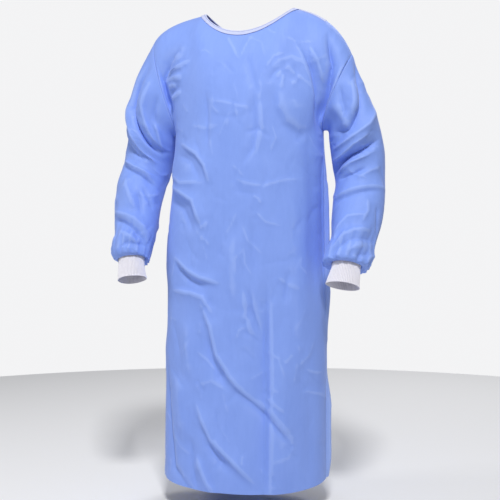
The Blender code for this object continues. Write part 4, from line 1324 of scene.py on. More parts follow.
# Creases of the sleeves: paths in degrees round the arm (negative in front) and shares along it
SLEEVE_CREASES: dict[Side, tuple[Crease, ...]] = {
    Side.LEFT: creased((
        (((-4, 5), (-20, 10), (-49, 18), (-98, 23.5), (-131, 19)), 13, -11.5, 0.4),
        (((-10, 25), (-50, 27.5), (-90, 27.5), (-140, 30)), 13, 8, 0.3),
        (((-40, 6), (-60, 12), (-84, 17)), 16, 7),
        (((-70, 4), (-88, 9), (-100, 15)), 8, -4.2),
        (((-30, 38.5), (-60, 40.5), (-98, 41.5), (-147, 50)), 13, -12, -0.4),
        (((-150, 41.5), (-120, 37), (-92, 33.5), (-60, 32.5)), 12, 8.5, 0.3),
        (((-60, 45.5), (-100, 48.5), (-130, 53)), 12, 7.5),
        (((-147, 68.5), (-110, 68), (-70, 66.5), (-5, 63.5)), 8, 4.5, 0.5),
        (((-140, 70.5), (-100, 70), (-40, 67)), 8, -4.2),
        (((-70, 54.5), (-95, 57.5), (-130, 58.5)), 10, -5, 0.4),
        (((-30, 53), (-55, 56), (-85, 62)), 14, 4.5),
        (((-125, 96.5), (-104, 92.5), (-82, 89.5), (-50, 88.5), (-10, 87.2)), 10, -6.8, 0.4),
        (((-124, 92.5), (-100, 88), (-80, 86.2), (-40, 85)), 10, 6.6, -0.4),
        (((-86, 95.5), (-70, 92.5), (-44, 91)), 8, 5, 0.3),
        (((-60, 96.8), (-46, 94.5), (-20, 93)), 7, -4.6),
        (((-30, 97.2), (-16, 93.5), (4, 91.5)), 9, 5),
        (((20, 96.5), (40, 92.5), (66, 90.5)), 9, -5.2),
        (((90, 96.5), (104, 93), (130, 90)), 10, 5.2),
        (((-135, 85), (-100, 80), (-60, 79)), 9, 3.5),
        (((-33, 74), (-24, 79), (-10, 83)), 7, -3.6),
        (((-60, 72), (-56, 77), (-64, 82)), 7, 3.2),
        (((-112, 5), (-100, 16), (-100, 30)), 18, 6),
        (((56, 12), (80, 24), (104, 40)), 18, 9.5, 0.3),
        (((30, 20), (50, 30), (70, 38)), 11, -5.5),
        (((36, 48), (80, 53), (128, 59)), 14, -10, 0.4),
        (((46, 42), (90, 46), (130, 50)), 12, 7),
        (((40, 60), (86, 62), (120, 66)), 10, 5),
        (((66, 66), (110, 71), (154, 77)), 14, 8),
        (((30, 76), (70, 80), (116, 84)), 10, -5.2),
    ), 1.0, 100.0),
    Side.RIGHT: creased((
        (((-44, 6), (-50, 15), (-58, 22), (-98, 27.5), (-135, 33)), 14, -13, -0.4),
        (((-70, 7), (-84, 14), (-110, 21), (-140, 26)), 15, 9, 0.3),
        (((-96, 5), (-110, 10), (-128, 15)), 8, -4.2),
        (((-122, 13), (-136, 20), (-150, 28)), 9, 6),
        (((-30, 24), (-52, 31), (-84, 37)), 16, 6),
        (((-66, 33), (-96, 40), (-124, 47)), 12, 5),
        (((-22, 42), (-50, 47), (-92, 50)), 10, -5.2, 0.4),
        (((-40, 60), (-70, 62.2), (-98, 62.8), (-135, 64)), 10, -7.2, 0.5),
        (((-40, 56.5), (-76, 58.5), (-120, 59.5)), 12, 6.2, 0.3),
        (((-62, 67), (-80, 72), (-98, 78)), 15, 7, 0.4),
        (((-112, 68), (-128, 71), (-146, 74)), 6, -3.6),
        (((-102, 70), (-112, 75), (-116, 80)), 8, -4.2),
        (((-36, 84.5), (-66, 85.5), (-98, 87), (-150, 90.5)), 9, -9, 0.5),
        (((-30, 81), (-64, 82.2), (-100, 83.5), (-150, 87)), 10, 6.2),
        (((-60, 89.5), (-100, 91), (-130, 93.5)), 8, 5.2),
        (((-70, 96.5), (-90, 94), (-120, 93.5), (-160, 91.5)), 8, -5.4, 0.3),
        (((-20, 96.5), (-34, 92.5), (-52, 90.5)), 9, 4.8),
        (((10, 96.5), (30, 92), (56, 90)), 9, -5),
        (((84, 96.5), (100, 92.5), (128, 90)), 10, 5.2),
        (((-20, 70), (-30, 76), (-40, 80)), 10, -4.5),
        (((50, 14), (74, 30), (98, 46)), 18, 9.5, -0.3),
        (((28, 26), (44, 36), (66, 44)), 11, -5.5),
        (((30, 50), (74, 55), (120, 61)), 14, -10, 0.4),
        (((50, 44), (88, 48), (124, 52)), 11, 6.8),
        (((72, 67), (112, 72), (154, 79)), 14, 8),
        (((36, 62), (70, 66), (96, 71)), 10, -4.8),
        (((26, 78), (66, 82), (110, 85)), 10, -5),
    ), 1.0, 100.0),
}


@dataclass(frozen=True)
class CuffForm:
    """A cuff's rings: centres of its top and bottom, measured out from the middle, and half sizes."""

    top: tuple[float, float, float]
    bottom: tuple[float, float, float]
    half_top: tuple[float, float] = (0.034, 0.029)
    half_bottom: tuple[float, float] = (0.041, 0.031)

    def ring(self, share: float, clearance: float, turn: Array) -> Array:
        """A ring of points round the cuff.

        Args:
            share: 0 at its top and 1 at its bottom edge.
            clearance: how far outside the cuff the ring lies.
            turn: angles round it.

        Returns:
            The ring's points.
        """
        top, bottom = np.array(self.top), np.array(self.bottom)
        axis = unit(bottom - top)
        wide = unit(np.array([1.0, 0.0, 0.0]) - axis * axis[0])
        deep = np.cross(axis, wide)
        deep = deep * np.sign(deep[1])
        half_top, half_bottom = np.array(self.half_top), np.array(self.half_bottom)
        half = half_top + (half_bottom - half_top) * max(share, 0.0)
        reach = (half[0] + clearance) * np.cos(turn)[..., None] * wide
        return top + (bottom - top) * share + reach + (half[1] + clearance) * np.sin(turn)[..., None] * deep


CUFF_FORMS: dict[Side, CuffForm] = {
    Side.LEFT: CuffForm((0.275, -0.102, -0.664), (0.268, -0.126, -0.724)),
    Side.RIGHT: CuffForm((0.300, -0.102, -0.651), (0.289, -0.124, -0.713), half_bottom=(0.037, 0.030)),
}


@dataclass
class Sleeve:
    """A set-in sleeve, gathered over its cuff."""

    side: Side
    armhole_fade: float = 0.36
    radius: float = 0.068
    step: float = 0.02
    crease_depth: float = 1.35
    creases_start: float = 0.045
    creases_end: float = 1.01
    creases_fade: float = 0.06
    gather_start: float = 0.76
    gather_run: float = 0.18
    gather_depth: float = 0.0013
    pleats: int = 17
    roll_seat: float = 0.15
    roll_clearance: float = 0.0030
    roll_fullness: float = 0.012
    roll_drop: tuple[float, float, float] = (0.0, -0.003, -0.008)
    end_seat: float = 0.02
    end_clearance: float = 0.0021
    roll_steps: tuple[float, float, int] = (0.09, 0.99, 11)
    seeds: tuple[int, int] = (51, 61)
    crumple_count: int = 110
    seam_fade: float = 0.16

    def ring(self, turn: Array, along: Array) -> Array:
        """Points of the sleeve, measured out from the middle, before its armhole shape and creases.

        Args:
            turn: angles round it.
            along: shares of its length.

        Returns:
            The points.
        """
        table = SLEEVE_TABLES[self.side]

        def read(at: Array) -> dict[str, Array]:
            """The table's columns at a place along the sleeve."""
            return {name: through(table["along"], table[name], at) for name in table if name != "along"}

        def middle(part: dict[str, Array]) -> Array:
            """The middle of the sleeve's section, from the table's columns there."""
            x, z = ((part["outer_" + axis] + part["inner_" + axis]) / 2.0 for axis in "xz")
            return np.stack([x, part["centre_y"], z], axis=-1)

        column = read(along)
        half_x = (column["outer_x"] - column["inner_x"]) / 2.0
        half_z = (column["outer_z"] - column["inner_z"]) / 2.0
        wide = np.stack([half_x, 0.0 * half_x, half_z], axis=-1)
        way = middle(read(along + self.step)) - middle(read(along - self.step))
        deep = unit(np.cross(way, wide))
        deep = deep * np.sign(deep[..., 1:2]) * column["half_depth"][..., None]
        return middle(column) + wide * np.cos(turn)[..., None] + deep * np.sin(turn)[..., None]

    def gathers(self, turn: Array, along: Array) -> Array:
        """Uneven pleats that deepen towards the cuff.

        Args:
            turn: angles round it.
            along: shares of its length.

        Returns:
            How far they lift the cloth.
        """
        drift = 0.9 * np.sin(2.0 * turn + 0.7) + 0.5 * np.sin(5.0 * turn + 1.9)
        deep = np.cos(self.pleats * turn + drift) + 0.55 * np.cos((self.pleats - 9) * turn + 1.3 - drift)
        small = 0.35 * np.cos((self.pleats + 14) * turn + 2.0 * drift)
        grown = ease((along - self.gather_start) / self.gather_run) ** 1.5
        uneven = 0.75 + 0.25 * np.sin(3.0 * turn + 0.4)
        return self.gather_depth * (deep * grown + small * grown ** 2) * uneven

    def lift(self, turn: Array, along: Array, length: float) -> Array:
        """How far the creases lift the sleeve.

        Args:
            turn: angles round it.
            along: shares of its length.
            length: the sleeve's length.

        Returns:
            The lift, in metres.
        """
        x, z = turn * self.radius, along * length
        total = np.zeros(x.shape)
        for crease in SLEEVE_CREASES[self.side]:
            path = tuple((math.radians(angle) * self.radius, share * length) for angle, share in crease.path)
            height = crease.height * self.crease_depth
            total += Crease(path, crease.half_width, height, crease.skew).lift(x, z)
        reach = math.pi * self.radius
        seed = self.seeds[0 if self.side is Side.LEFT else 1]
        low, high = (-reach, 0.02), (reach, length * 0.95)
        small = Crumple(seed, self.crumple_count, low, high, slant=0.5, height=0.0017)
        total += lift_of(small.creases(), x, z)
        seam = ease((math.pi - np.abs(turn)) / self.seam_fade)
        ends = ease(along / self.creases_start), ease((self.creases_end - along) / self.creases_fade)
        return total * ends[0] * ends[1] * seam

    def cloth(self, armhole: Array) -> Cloth:
        """The sleeve, measured out from the middle: rings from the armhole to the gathered wrist.

        Args:
            armhole: the armhole's points, measured out from the middle.

        Returns:
            The sleeve.
        """
        form = CUFF_FORMS[self.side]
        columns = 2 * CELLS_ON_ARMHOLE
        angle = np.linspace(-math.pi, math.pi, columns + 1)
        share = np.linspace(0.0, SLEEVE_TABLES[self.side]["along"][-1], CELLS_ALONG_SLEEVE + 1)
        turn, along = np.meshgrid(angle, share)
        points = self.ring(turn, along)
        points = points + (armhole - points[0]) * (1.0 - ease(along / self.armhole_fade))[..., None]
        plain = Cloth("plain", points, closed=True)
        length = float(np.linalg.norm(np.diff(points.mean(axis=1), axis=0), axis=-1).sum())
        lift = self.lift(turn, along, length) + self.gathers(turn, along)
        points = points + plain.normals * lift[..., None]
        # Crest heights of the sleeve's creases, for its painted fold highlights and shade.
        fold = crests(lift)
        last = points[-1]
        pleat = self.gathers(angle, np.full_like(angle, 1.0))
        rolled = []
        for step in np.linspace(*self.roll_steps):
            seat = form.ring(self.roll_seat, self.roll_clearance + self.roll_fullness * (1.0 - step), angle)
            drop = np.array(self.roll_drop) * math.sin(step * math.pi * 0.5)
            ring = last * (1.0 - step) + seat * step + drop * (1.0 - step)
            outward = unit(ring - ring.mean(axis=0))
            rolled.append(ring + outward * (pleat * (1.0 - step) ** 0.6 * 0.9)[..., None])
        end = form.ring(self.end_seat, self.end_clearance, angle)
        rings = np.concatenate([points, np.array(rolled), end[None]])
        piece = Cloth(f"sleeve_{self.side.value}_cloth", rings, closed=True)
        piece.fold[:len(fold)] = fold
        return piece

    def dress(self, piece: Cloth, finish: bpy.types.Material) -> None:
        """Builds the sleeve on its own side and reports what it measures.

        Args:
            piece: the sleeve's cloth.
            finish: its material.
        """
        across = walked(piece.points, 1)
        along = walked(piece.points, 0)
        side_gap = np.minimum(across, across[:, -1:] - across)
        maps = (np.stack([across - across[:, -1:] / 2.0, along], axis=-1),
                np.stack([side_gap, along], axis=-1))
        placed = piece.build(finish, maps)
        dress(placed, f"sleeve_{self.side.value}")
        declare(f"sleeve_{self.side.value}", "gathered", piece)


@dataclass
class Cuff:
    """A knitted rib cuff: a short elastic tube whose top is inside the sleeve's end."""

    side: Side
    wales: int = 58
    columns: int = 348
    rows: int = 30
    inside: float = 0.10
    rib_height: float = 0.00042
    wall: float = 0.0014

    def dress(self, finish: bpy.types.Material) -> None:
        """Builds the cuff and reports what it measures.

        Args:
            finish: its material.
        """
        form = CUFF_FORMS[self.side]
        angle = np.linspace(-math.pi, math.pi, self.columns + 1)
        shares = np.linspace(-self.inside, 1.0, self.rows + 1)
        rings = np.array([form.ring(share, 0.0, angle) for share in shares])
        piece = Cloth(f"cuff_{self.side.value}_rib", rings, closed=True, wall=self.wall)
        turn, share = np.meshgrid(angle, shares)
        turns = turn / (2.0 * math.pi)
        rib = self.rib_height * np.sin(turns * 2.0 * math.pi * self.wales)
        soft = 0.0010 * np.sin(3.0 * turn + 5.0 * share) * ease((share - 0.1) / 0.6)
        waist = -0.0012 * np.exp(-((share - 0.42) / 0.30) ** 2) + 0.0010 * ease((share - 0.86) / 0.14)
        piece.raise_by(rib + soft + waist)
        piece.points[:, -1] = piece.points[:, 0]
        piece.lift[:, -1] = piece.lift[:, 0]
        across, along = walked(piece.points, 1), walked(piece.points, 0)
        maps = (np.stack([across, along], axis=-1), np.stack([turns, share], axis=-1))
        if self.side is Side.RIGHT:
            piece.mirror()
        placed = piece.build(finish, maps)
        dress(placed, f"cuff_{self.side.value}")
        declare(f"cuff_{self.side.value}", "gathered", piece)


class Seams:
    """The seams between the pieces: mitred edges a hair apart, sunk a little below the cloth."""

    @staticmethod
    def neighbour(piece: Cloth, edge: tuple[int | slice, int | slice]) -> Array:
        """The points one step in from an edge.

        Args:
            piece: the piece.
            edge: its edge, as a pair of indices.

        Returns:
            The points.
        """
        rows, columns = edge
        if isinstance(rows, int):
            return piece.points[1 if rows == 0 else piece.points.shape[0] - 2, columns]
        return piece.points[rows, 1 if columns == 0 else piece.points.shape[1] - 2]

    def join(self, first: Cloth, first_edge: tuple[int | slice, int | slice], second: Cloth,
             second_edge: tuple[int | slice, int | slice]) -> None:
        """Mitres two edges that share their points and sinks them into a seam line.

        Args:
            first: one piece.
            first_edge: its edge, as a pair of indices.
            second: the other piece.
            second_edge: its edge, in the same order.
        """
        seam = (first.points[first_edge] + second.points[second_edge]) / 2.0
        normal = unit(first.normals[first_edge] + second.normals[second_edge])
        slant = np.sum(normal * first.normals[first_edge], axis=-1, keepdims=True)
        lift = normal * WALL / 2.0 / np.maximum(slant, STEEPEST_MITRE)
        apart = unit(np.cross(np.gradient(seam, axis=0), normal))
        towards = self.neighbour(second, second_edge) - self.neighbour(first, first_edge)
        apart = apart * np.sign(np.sum(apart * towards, axis=-1, keepdims=True))
        seam = seam - normal * SEAM_DIP
        first.points[first_edge] = seam - apart * SEAM_GAP / 2.0
        second.points[second_edge] = seam + apart * SEAM_GAP / 2.0
        first.lift[first_edge] = lift
        second.lift[second_edge] = lift

    @staticmethod
    def corner(corners: tuple[tuple[Cloth, tuple[int, int]], ...], place: Array) -> None:
        """Brings the corners of front, back and sleeve to one point and one mitre.

        Args:
            corners: front, back and sleeve, each with its corner.
            place: where they meet.
        """
        front, back, arm = (piece.normals[at] for piece, at in corners)
        normal = unit(unit(front + back) + arm)
        for piece, at in corners:
            slant = max(float(np.dot(normal, piece.normals[at])), STEEPEST_CORNER)
            piece.points[at] = place - normal * SEAM_DIP
            piece.lift[at] = normal * WALL / 2.0 / slant

    def join_side(self, front: Cloth, back: Cloth, arm: Cloth, column: int, step: int) -> None:
        """Joins front, back and sleeve on one side.

        Args:
            front: the front.
            back: the back panel of that side.
            arm: the sleeve, already on its own side.
            column: the front's column at that side.
            step: which way the front's columns go in from there.
        """
        top = front.points.shape[0] - 1
        under = CELLS_BELOW_ARM
        half = CELLS_ON_ARMHOLE
        shoulder = slice(column, column + step * (CELLS_ON_SHOULDER + 1), step)
        shoulder_point = front.points[top, column].copy()
        under_point = front.points[under, column].copy()
        self.join(front, (slice(0, under), column), back, (slice(0, under), 0))
        self.join(front, (top, shoulder), back, (top, slice(0, CELLS_ON_SHOULDER + 1)))
        upper = slice(under + 1, top)
        self.join(front, (upper, column), arm, (0, slice(1, half)))
        self.join(back, (upper, 0), arm, (0, slice(2 * half - 1, half, -1)))
        self.corner(((front, (top, column)), (back, (top, 0)), (arm, (0, half))), shoulder_point)
        self.corner(((front, (under, column)), (back, (under, 0)), (arm, (0, 0))), under_point)
        arm.points[:, -1] = arm.points[:, 0]
        arm.lift[:, -1] = arm.lift[:, 0]


def declare(node: str, held: str, piece: Cloth) -> None:
    """Reports what a piece measures.

    Args:
        node: the node that it dresses.
        held: how the cloth is held; not used.
        piece: the piece's grid.
    """
    LOG.info("%s measures %s, %.5f m2", node, piece.measured(), piece.area())


def armhole_loop(front: Cloth, back: Cloth, column: int) -> Array:
    """An armhole's points, measured out from the middle: underarm, up the front, down the back.

    Args:
        front: the front.
        back: the back panel of that side.
        column: the front's column there.

    Returns:
        The points, from the underarm round to it again.
    """
    up_front = front.points[CELLS_BELOW_ARM:, column]
    down_back = back.points[CELLS_BELOW_ARM:, 0][::-1]
    loop = np.concatenate([up_front, down_back[1:]])
    return np.abs(loop) * np.array([1.0, 0.0, 0.0]) + loop * np.array([0.0, 1.0, 1.0])


@dataclass
class NeckTrim:
    """The tape folded over the neck edge, and the tape on the wearer's left shoulder seam."""

    front: Cloth
    backs: tuple[Cloth, Cloth]
    width: float = 0.0130
    rise: float = 0.0018
    out: float = 0.0019
    crown: float = 0.0002
    inner_width: float = 0.0095
    tape_width: float = 0.024
    tape_front: float = 0.84
    tape_from: float = 7.75
    tape_to: float = 4.2
    tape_out: float = 0.0013
    tape_columns: int = 56
    tape_rows: int = 15
    smoothings: int = 10
    laid_shares: tuple[float, ...] = (1.0, 1.0, 0.6)

    def run(self, piece: Cloth, columns: slice) -> tuple[Array, Array, Array]:
        """A stretch of a panel's neckline: points, ways down the columns, and normals.

        Args:
            piece: the panel.
            columns: its columns there.

        Returns:
            The three, a row for each column.
        """
        top = piece.points.shape[0] - 1
        path = piece.points[top, columns]
        down = unit(piece.points[top - 3, columns] - path)
        along = unit(np.gradient(path, axis=0))
        down = unit(down - along * np.sum(down * along, axis=-1, keepdims=True))
        return path, down, unit(piece.normals[top - 1, columns])

    def binding(self) -> Cloth:
        """The neck binding, from one back panel's free edge to the other's.

        Returns:
            The binding.
        """
        start = CELLS_ON_SHOULDER
        end = start + CELLS_ON_FRONT_NECK
        runs = (self.run(self.backs[0], slice(None, start, -1)), self.run(self.front, slice(start, end + 1)),
                self.run(self.backs[1], slice(start + 1, None)))
        path, way, normal = (np.concatenate(parts) for parts in zip(*runs))
        for values in (way, normal):
            for _ in range(self.smoothings):
                values[1:-1] = unit(values[:-2] + 2.0 * values[1:-1] + values[2:])
        turns = np.linspace(0.0, math.pi, 7)
        section = [(self.width, self.out)]
        section += [(self.width * share, self.out + self.crown) for share in (0.66, 0.33)]
        section += [(-self.rise * math.sin(turn), self.out * math.cos(turn)) for turn in turns]
        section += [(self.inner_width * 0.5, -self.out), (self.inner_width, -self.out)]
        rows = [path + way * down + normal * out for down, out in section]
        for row, ((down, out), share) in enumerate(zip(section, self.laid_shares)):
            laid = self.laid_on(path + way * down, out)
            rows[row] = rows[row] + (laid - rows[row]) * share
        return Cloth("neck_binding_tape", np.array(rows), wall=TAPE_WALL)

    def laid_on(self, places: Array, out: float) -> Array:
        """Moves places onto the panels' tops.

        Args:
            places: the places, one a row.
            out: their height over the cloth.

        Returns:
            The moved places.
        """
        panels = (self.front, *self.backs)
        cloth = np.concatenate([panel.points[-ROWS_UNDER_TAPES:].reshape(-1, 3) for panel in panels])
        normals = np.concatenate([panel.normals[-ROWS_UNDER_TAPES:].reshape(-1, 3) for panel in panels])
        moved = np.empty_like(places)
        for index, place in enumerate(places):
            reach = np.sum((cloth - place) ** 2, axis=1)
            weight = np.exp(-(reach - reach.min()) / NEAR_SPREAD)
            normal = unit((normals * weight[:, None]).sum(axis=0))
            under = (cloth * weight[:, None]).sum(axis=0) / weight.sum()
            moved[index] = place + normal * (out - float(np.dot(place - under, normal)))
        return moved

    @staticmethod
    def below_top(piece: Cloth, column: float, distance: float) -> tuple[Array, Array]:
        """A place on a panel below its top edge.

        Args:
            piece: the panel.
            column: the column, which may lie between two.
            distance: how far down the column, along the cloth.

        Returns:
            The point and the normal there.
        """
        low = min(int(column), piece.points.shape[1] - 2)
        share = column - low
        last = -ROWS_UNDER_SHOULDER_TAPE - 1
        line, normal = (values[:last:-1, low] * (1.0 - share) + values[:last:-1, low + 1] * share
                        for values in (piece.points, piece.normals))
        steps = np.linalg.norm(np.diff(line, axis=0), axis=1)
        walk = np.concatenate([[0.0], np.cumsum(steps)])
        point = np.array([np.interp(distance, walk, line[:, axis]) for axis in range(3)])
        return point, unit(np.array([np.interp(distance, walk, normal[:, axis]) for axis in range(3)]))

    def shoulder(self) -> Cloth:
        """The tape over the wearer's left shoulder seam, from beside the binding outward.

        Returns:
            The tape.
        """
        columns = np.linspace(self.tape_from * ACROSS, self.tape_to * ACROSS, self.tape_columns)
        widths = np.linspace(self.tape_width * (self.tape_front - 1.0), self.tape_width * self.tape_front,
                             self.tape_rows)
        rows = []
        for width in widths:
            panel = self.backs[0] if width < 0.0 else self.front
            edge = abs(width / self.tape_width - self.tape_front + 0.5) * 2.0
            out = self.tape_out + SEAM_DIP * math.exp(-((width / 0.0025) ** 2)) - 0.0004 * edge ** 4
            places = [self.below_top(panel, column, abs(width)) for column in columns]
            rows.append(np.array([point + normal * out for point, normal in places]))
        smooth = np.array(rows)
        for _ in range(3):
            smooth[1:-1] = (smooth[:-2] + 2.0 * smooth[1:-1] + smooth[2:]) / 4.0
        return Cloth("shoulder_seam_tape", smooth, flip=True, wall=TAPE_WALL)

    @staticmethod
    def tape_maps(piece: Cloth) -> tuple[Array, Array]:
        """A tape's maps: the place on it, and how far its edges are.

        Args:
            piece: the tape.

        Returns:
            Both maps, in metres.
        """
        across, along = walked(piece.points, 0), walked(piece.points, 1)
        gap = np.minimum(across, across[-1:] - across)
        return np.stack([across, along], axis=-1), np.stack([gap, along], axis=-1)

    def dress(self, finish: bpy.types.Material) -> None:
        """Builds both tapes and reports what they measure.

        Args:
            finish: the tapes' material.
        """
        for piece, node in ((self.binding(), "neck_binding"), (self.shoulder(), "shoulder_tape")):
            placed = piece.build(finish, self.tape_maps(piece))
            dress(placed, node)
            declare(node, "folded" if node == "neck_binding" else "laid", piece)


@dataclass
class BackTies:
    """What closes the back: the hook tab at the neck, and the waist ties with their knot and ends."""

    body: Body
    panels: tuple[Cloth, Cloth]
    tab_places: tuple[float, float] = (0.02, -0.20)
    tab_rows: tuple[float, float] = (1.830, 1.925)
    tie_width: float = 0.024
    tie_height: float = -0.430
    tie_start: float = 0.150
    tie_sag: float = 0.014
    tie_out: float = 0.0019
    knot_side: float = 0.0165
    knot_grip: float = 0.006
    tail_top: float = -0.444
    tails: tuple[tuple[float, float, float], ...] = ((0.014, 0.045, 0.300), (-0.014, -0.036, 0.250))
    knot_size: tuple[float, float, float] = (0.034, 0.014, 0.027)
    knot_core: tuple[float, float, float] = (1.02, 0.74, 0.74)
    knot_band: float = 0.019
    knot_out: float = 0.0095

    def row_at(self, height: Array) -> Array:
        """The row of a back panel at a height below the arms."""
        form = self.body.form
        return (height - form.hem) / (form.underarm - form.hem)

    def place_at(self, x: Array, height: Array) -> Array:
        """The place round the back at a distance x from the middle.

        Args:
            x: distances from the middle.
            height: their heights.

        Returns:
            The places.
        """
        form = self.body.form
        share = np.abs(x) / through(form.heights, form.half_widths, height)
        return np.sign(x) * np.arcsin(share ** (1.0 / form.section_power)) * 2.0 / math.pi

    def on_panel(self, panel: Cloth, side: float, place: Array, row: Array) -> Array:
        """Points of a back panel at places and rows.

        Args:
            panel: the panel.
            side: 1 for the left one and -1 for the right.
            place: places round the body.
            row: their rows.

        Returns:
            The points.
        """
        rows = self.body.rows()
        lines = np.interp(row, rows, np.arange(panel.points.shape[0]))
        found = np.zeros(place.shape + (3,))
        for at in np.ndindex(place.shape):
            line = min(int(lines[at]), panel.points.shape[0] - 2)
            ends = []
            for edge in (line, line + 1):
                places = side * self.body.back_row(side, float(self.body.lap_width(rows[edge])))
                column = np.interp(-side * place[at], -places, np.arange(len(places)))
                cell = min(int(column), len(places) - 2)
                pair = panel.points[edge, cell:cell + 2]
                ends.append(pair[0] + (pair[1] - pair[0]) * (column - cell))
            found[at] = ends[0] + (ends[1] - ends[0]) * (lines[at] - line)
        return found

    def laid(self, name: str, place: Array, row: Array, out: Array) -> Cloth:
        """A tape on the back: on the left panel, and past its edge over the right one.

        Args:
            name: the tape's name.
            place: its points' places round the back.
            row: their rows.
            out: how far out from the panels they lie.

        Returns:
            The tape.
        """
        lap = self.body.lap_width(row)
        over_left = place >= -lap
        points = np.where(over_left[..., None], self.on_panel(self.panels[0], 1.0, place, row),
                          self.on_panel(self.panels[1], -1.0, place, row))
        depth = self.body.lap_depth * ease((place + lap + self.body.lap_run) / self.body.lap_run)
        step = np.where(over_left, 0.0, depth)
        normals = grid_normals(self.body.form.surface(place, row, back=True))
        normals = normals * np.sign(normals[..., 1:2].mean())
        piece = Cloth(name, points + normals * (out + step)[..., None], wall=TAPE_WALL)
        if np.sum(piece.normals * normals) < 0.0:
            piece.flip = True
            piece.settle()
        return piece

    def tab(self) -> Cloth:
        """The hook-and-loop tab that closes the neck.

        Returns:
            The tab.
        """
        place, row = np.meshgrid(np.linspace(*self.tab_places, 49), np.linspace(*self.tab_rows, 17))
        past = ease((-self.body.lap_width(row) - 0.01 - place) / 0.04)
        edge = np.abs(np.linspace(-1.0, 1.0, 17))[:, None] ** 6
        return self.laid("neck_hook_tab", place, row, 0.0026 - 0.0022 * past - 0.0004 * edge)

    def folds(self, share: Array, across: Array, seed: float) -> Array:
        """The lengthwise folds and slack of a tie: rounded edges, a middle fold and slow waves.

        Args:
            share: shares of the tie's length.
            across: places across it, from -0.5 to 0.5.
            seed: what makes it unlike the others.

        Returns:
            How far out it lies, in metres.
        """
        edges = -0.0006 * np.abs(across * 2.0) ** 6
        middle = -0.0007 * np.exp(-((across - 0.10 * np.sin(7.0 * share + seed)) / 0.10) ** 2)
        waves = 0.0009 * np.sin(19.0 * share + seed) + 0.0005 * np.sin(43.0 * share + 3.0 * across + seed)
        return edges + middle + waves * (0.4 + 0.6 * np.abs(across) * 2.0) + 0.0008

    def band(self, name: str, start: float) -> Cloth:
        """A waist tie from where it is sewn on, along the back in a shallow sag, to the knot.

        Args:
            name: its name.
            start: where it is sewn on.

        Returns:
            The tie.
        """
        end = math.copysign(self.knot_side - self.knot_grip, start)
        share, across = np.meshgrid(np.linspace(0.0, 1.0, 61), np.linspace(-0.5, 0.5, 13))
        pinch = 1.0 - 0.36 * ease((share - 0.72) / 0.28)
        x = start + (end - start) * share
        height = self.tie_height + self.tie_width * across * pinch - self.tie_sag * np.sin(math.pi * share)
        out = self.tie_out + self.folds(share, across, start * 40.0) + 0.0030 * ease((share - 0.80) / 0.20)
        return self.laid(name, self.place_at(x, height), self.row_at(height), out)

    def tail(self, name: str, x_top: float, x_bottom: float, length: float) -> Cloth:
        """A tie's free end, which hangs down the back from the knot.

        Args:
            name: its name.
            x_top: where it leaves the knot.
            x_bottom: where it ends.
            length: how long it is.

        Returns:
            The end.
        """
        share, across = np.meshgrid(np.linspace(0.0, 1.0, 81), np.linspace(-0.5, 0.5, 13))
        pinch = 1.0 - 0.40 * ease((0.16 - share) / 0.16)
        height = self.tail_top - length * share
        sway = 0.0035 * np.sin(5.2 * share + x_top * 90.0) * share
        x = x_top + (x_bottom - x_top) * share + across * self.tie_width * pinch + sway
        out = self.tie_out + self.folds(share, across, x_top * 70.0) + 0.0026 * ease((0.14 - share) / 0.14)
        return self.laid(name, self.place_at(x, height), self.row_at(height), out)

    def knot(self, finish: bpy.types.Material) -> bpy.types.Object:
        """The flat knot at centre back: a bunched core with a band wrapped round it.

        Args:
            finish: its material.

        Returns:
            The knot's object.
        """
        row = np.full(1, self.row_at(np.array(self.tie_height)))
        seat = self.on_panel(self.panels[0], 1.0, np.zeros(1), row)[0]
        bm = bmesh.new()
        uv = bm.loops.layers.uv.new("cloth")
        edge_map = bm.loops.layers.uv.new("edges")
        bmesh.ops.create_uvsphere(bm, u_segments=56, v_segments=28, radius=0.5,
                                  matrix=Matrix.Rotation(math.pi / 2.0, 4, "Y"))
        for vert in bm.verts:
            turn = math.atan2(vert.co.z, vert.co.y)
            pleat = 1.0 + 0.09 * math.cos(9.0 * turn + 5.0 * vert.co.x) + 0.05 * math.cos(17.0 * turn)
            vert.co.y *= pleat
            vert.co.z *= pleat
        core = Vector(size * share for size, share in zip(self.knot_size, self.knot_core))
        bmesh.ops.scale(bm, vec=core, verts=bm.verts)
        made = bmesh.ops.create_grid(bm, x_segments=72, y_segments=12, size=0.5)
        for vert in made["verts"]:
            turn, across = vert.co.x * 2.0 * math.pi, vert.co.y
            swell = 1.0 - 0.10 * abs(across * 2.0) ** 4
            swell += 0.035 * math.cos(6.0 * math.pi * across + 0.8 * math.sin(turn))
            slant = 0.0035 * math.sin(turn)
            deep, high = (size * 0.5 * swell for size in self.knot_size[1:])
            vert.co = Vector((across * self.knot_band + slant, deep * math.cos(turn), high * math.sin(turn)))
        bmesh.ops.remove_doubles(bm, verts=made["verts"], dist=WELD)
        bmesh.ops.translate(bm, verts=bm.verts, vec=(0.0, seat[1] + self.knot_out, self.tie_height))
        bmesh.ops.recalc_face_normals(bm, faces=bm.faces)
        for face in bm.faces:
            for loop in face.loops:
                loop[uv].uv = (loop.vert.co.x, loop.vert.co.z)
                loop[edge_map].uv = (0.006, 0.006)
        placed = place_mesh("waist_knot", bm, finish)
        placed.data.shade_smooth()
        return placed

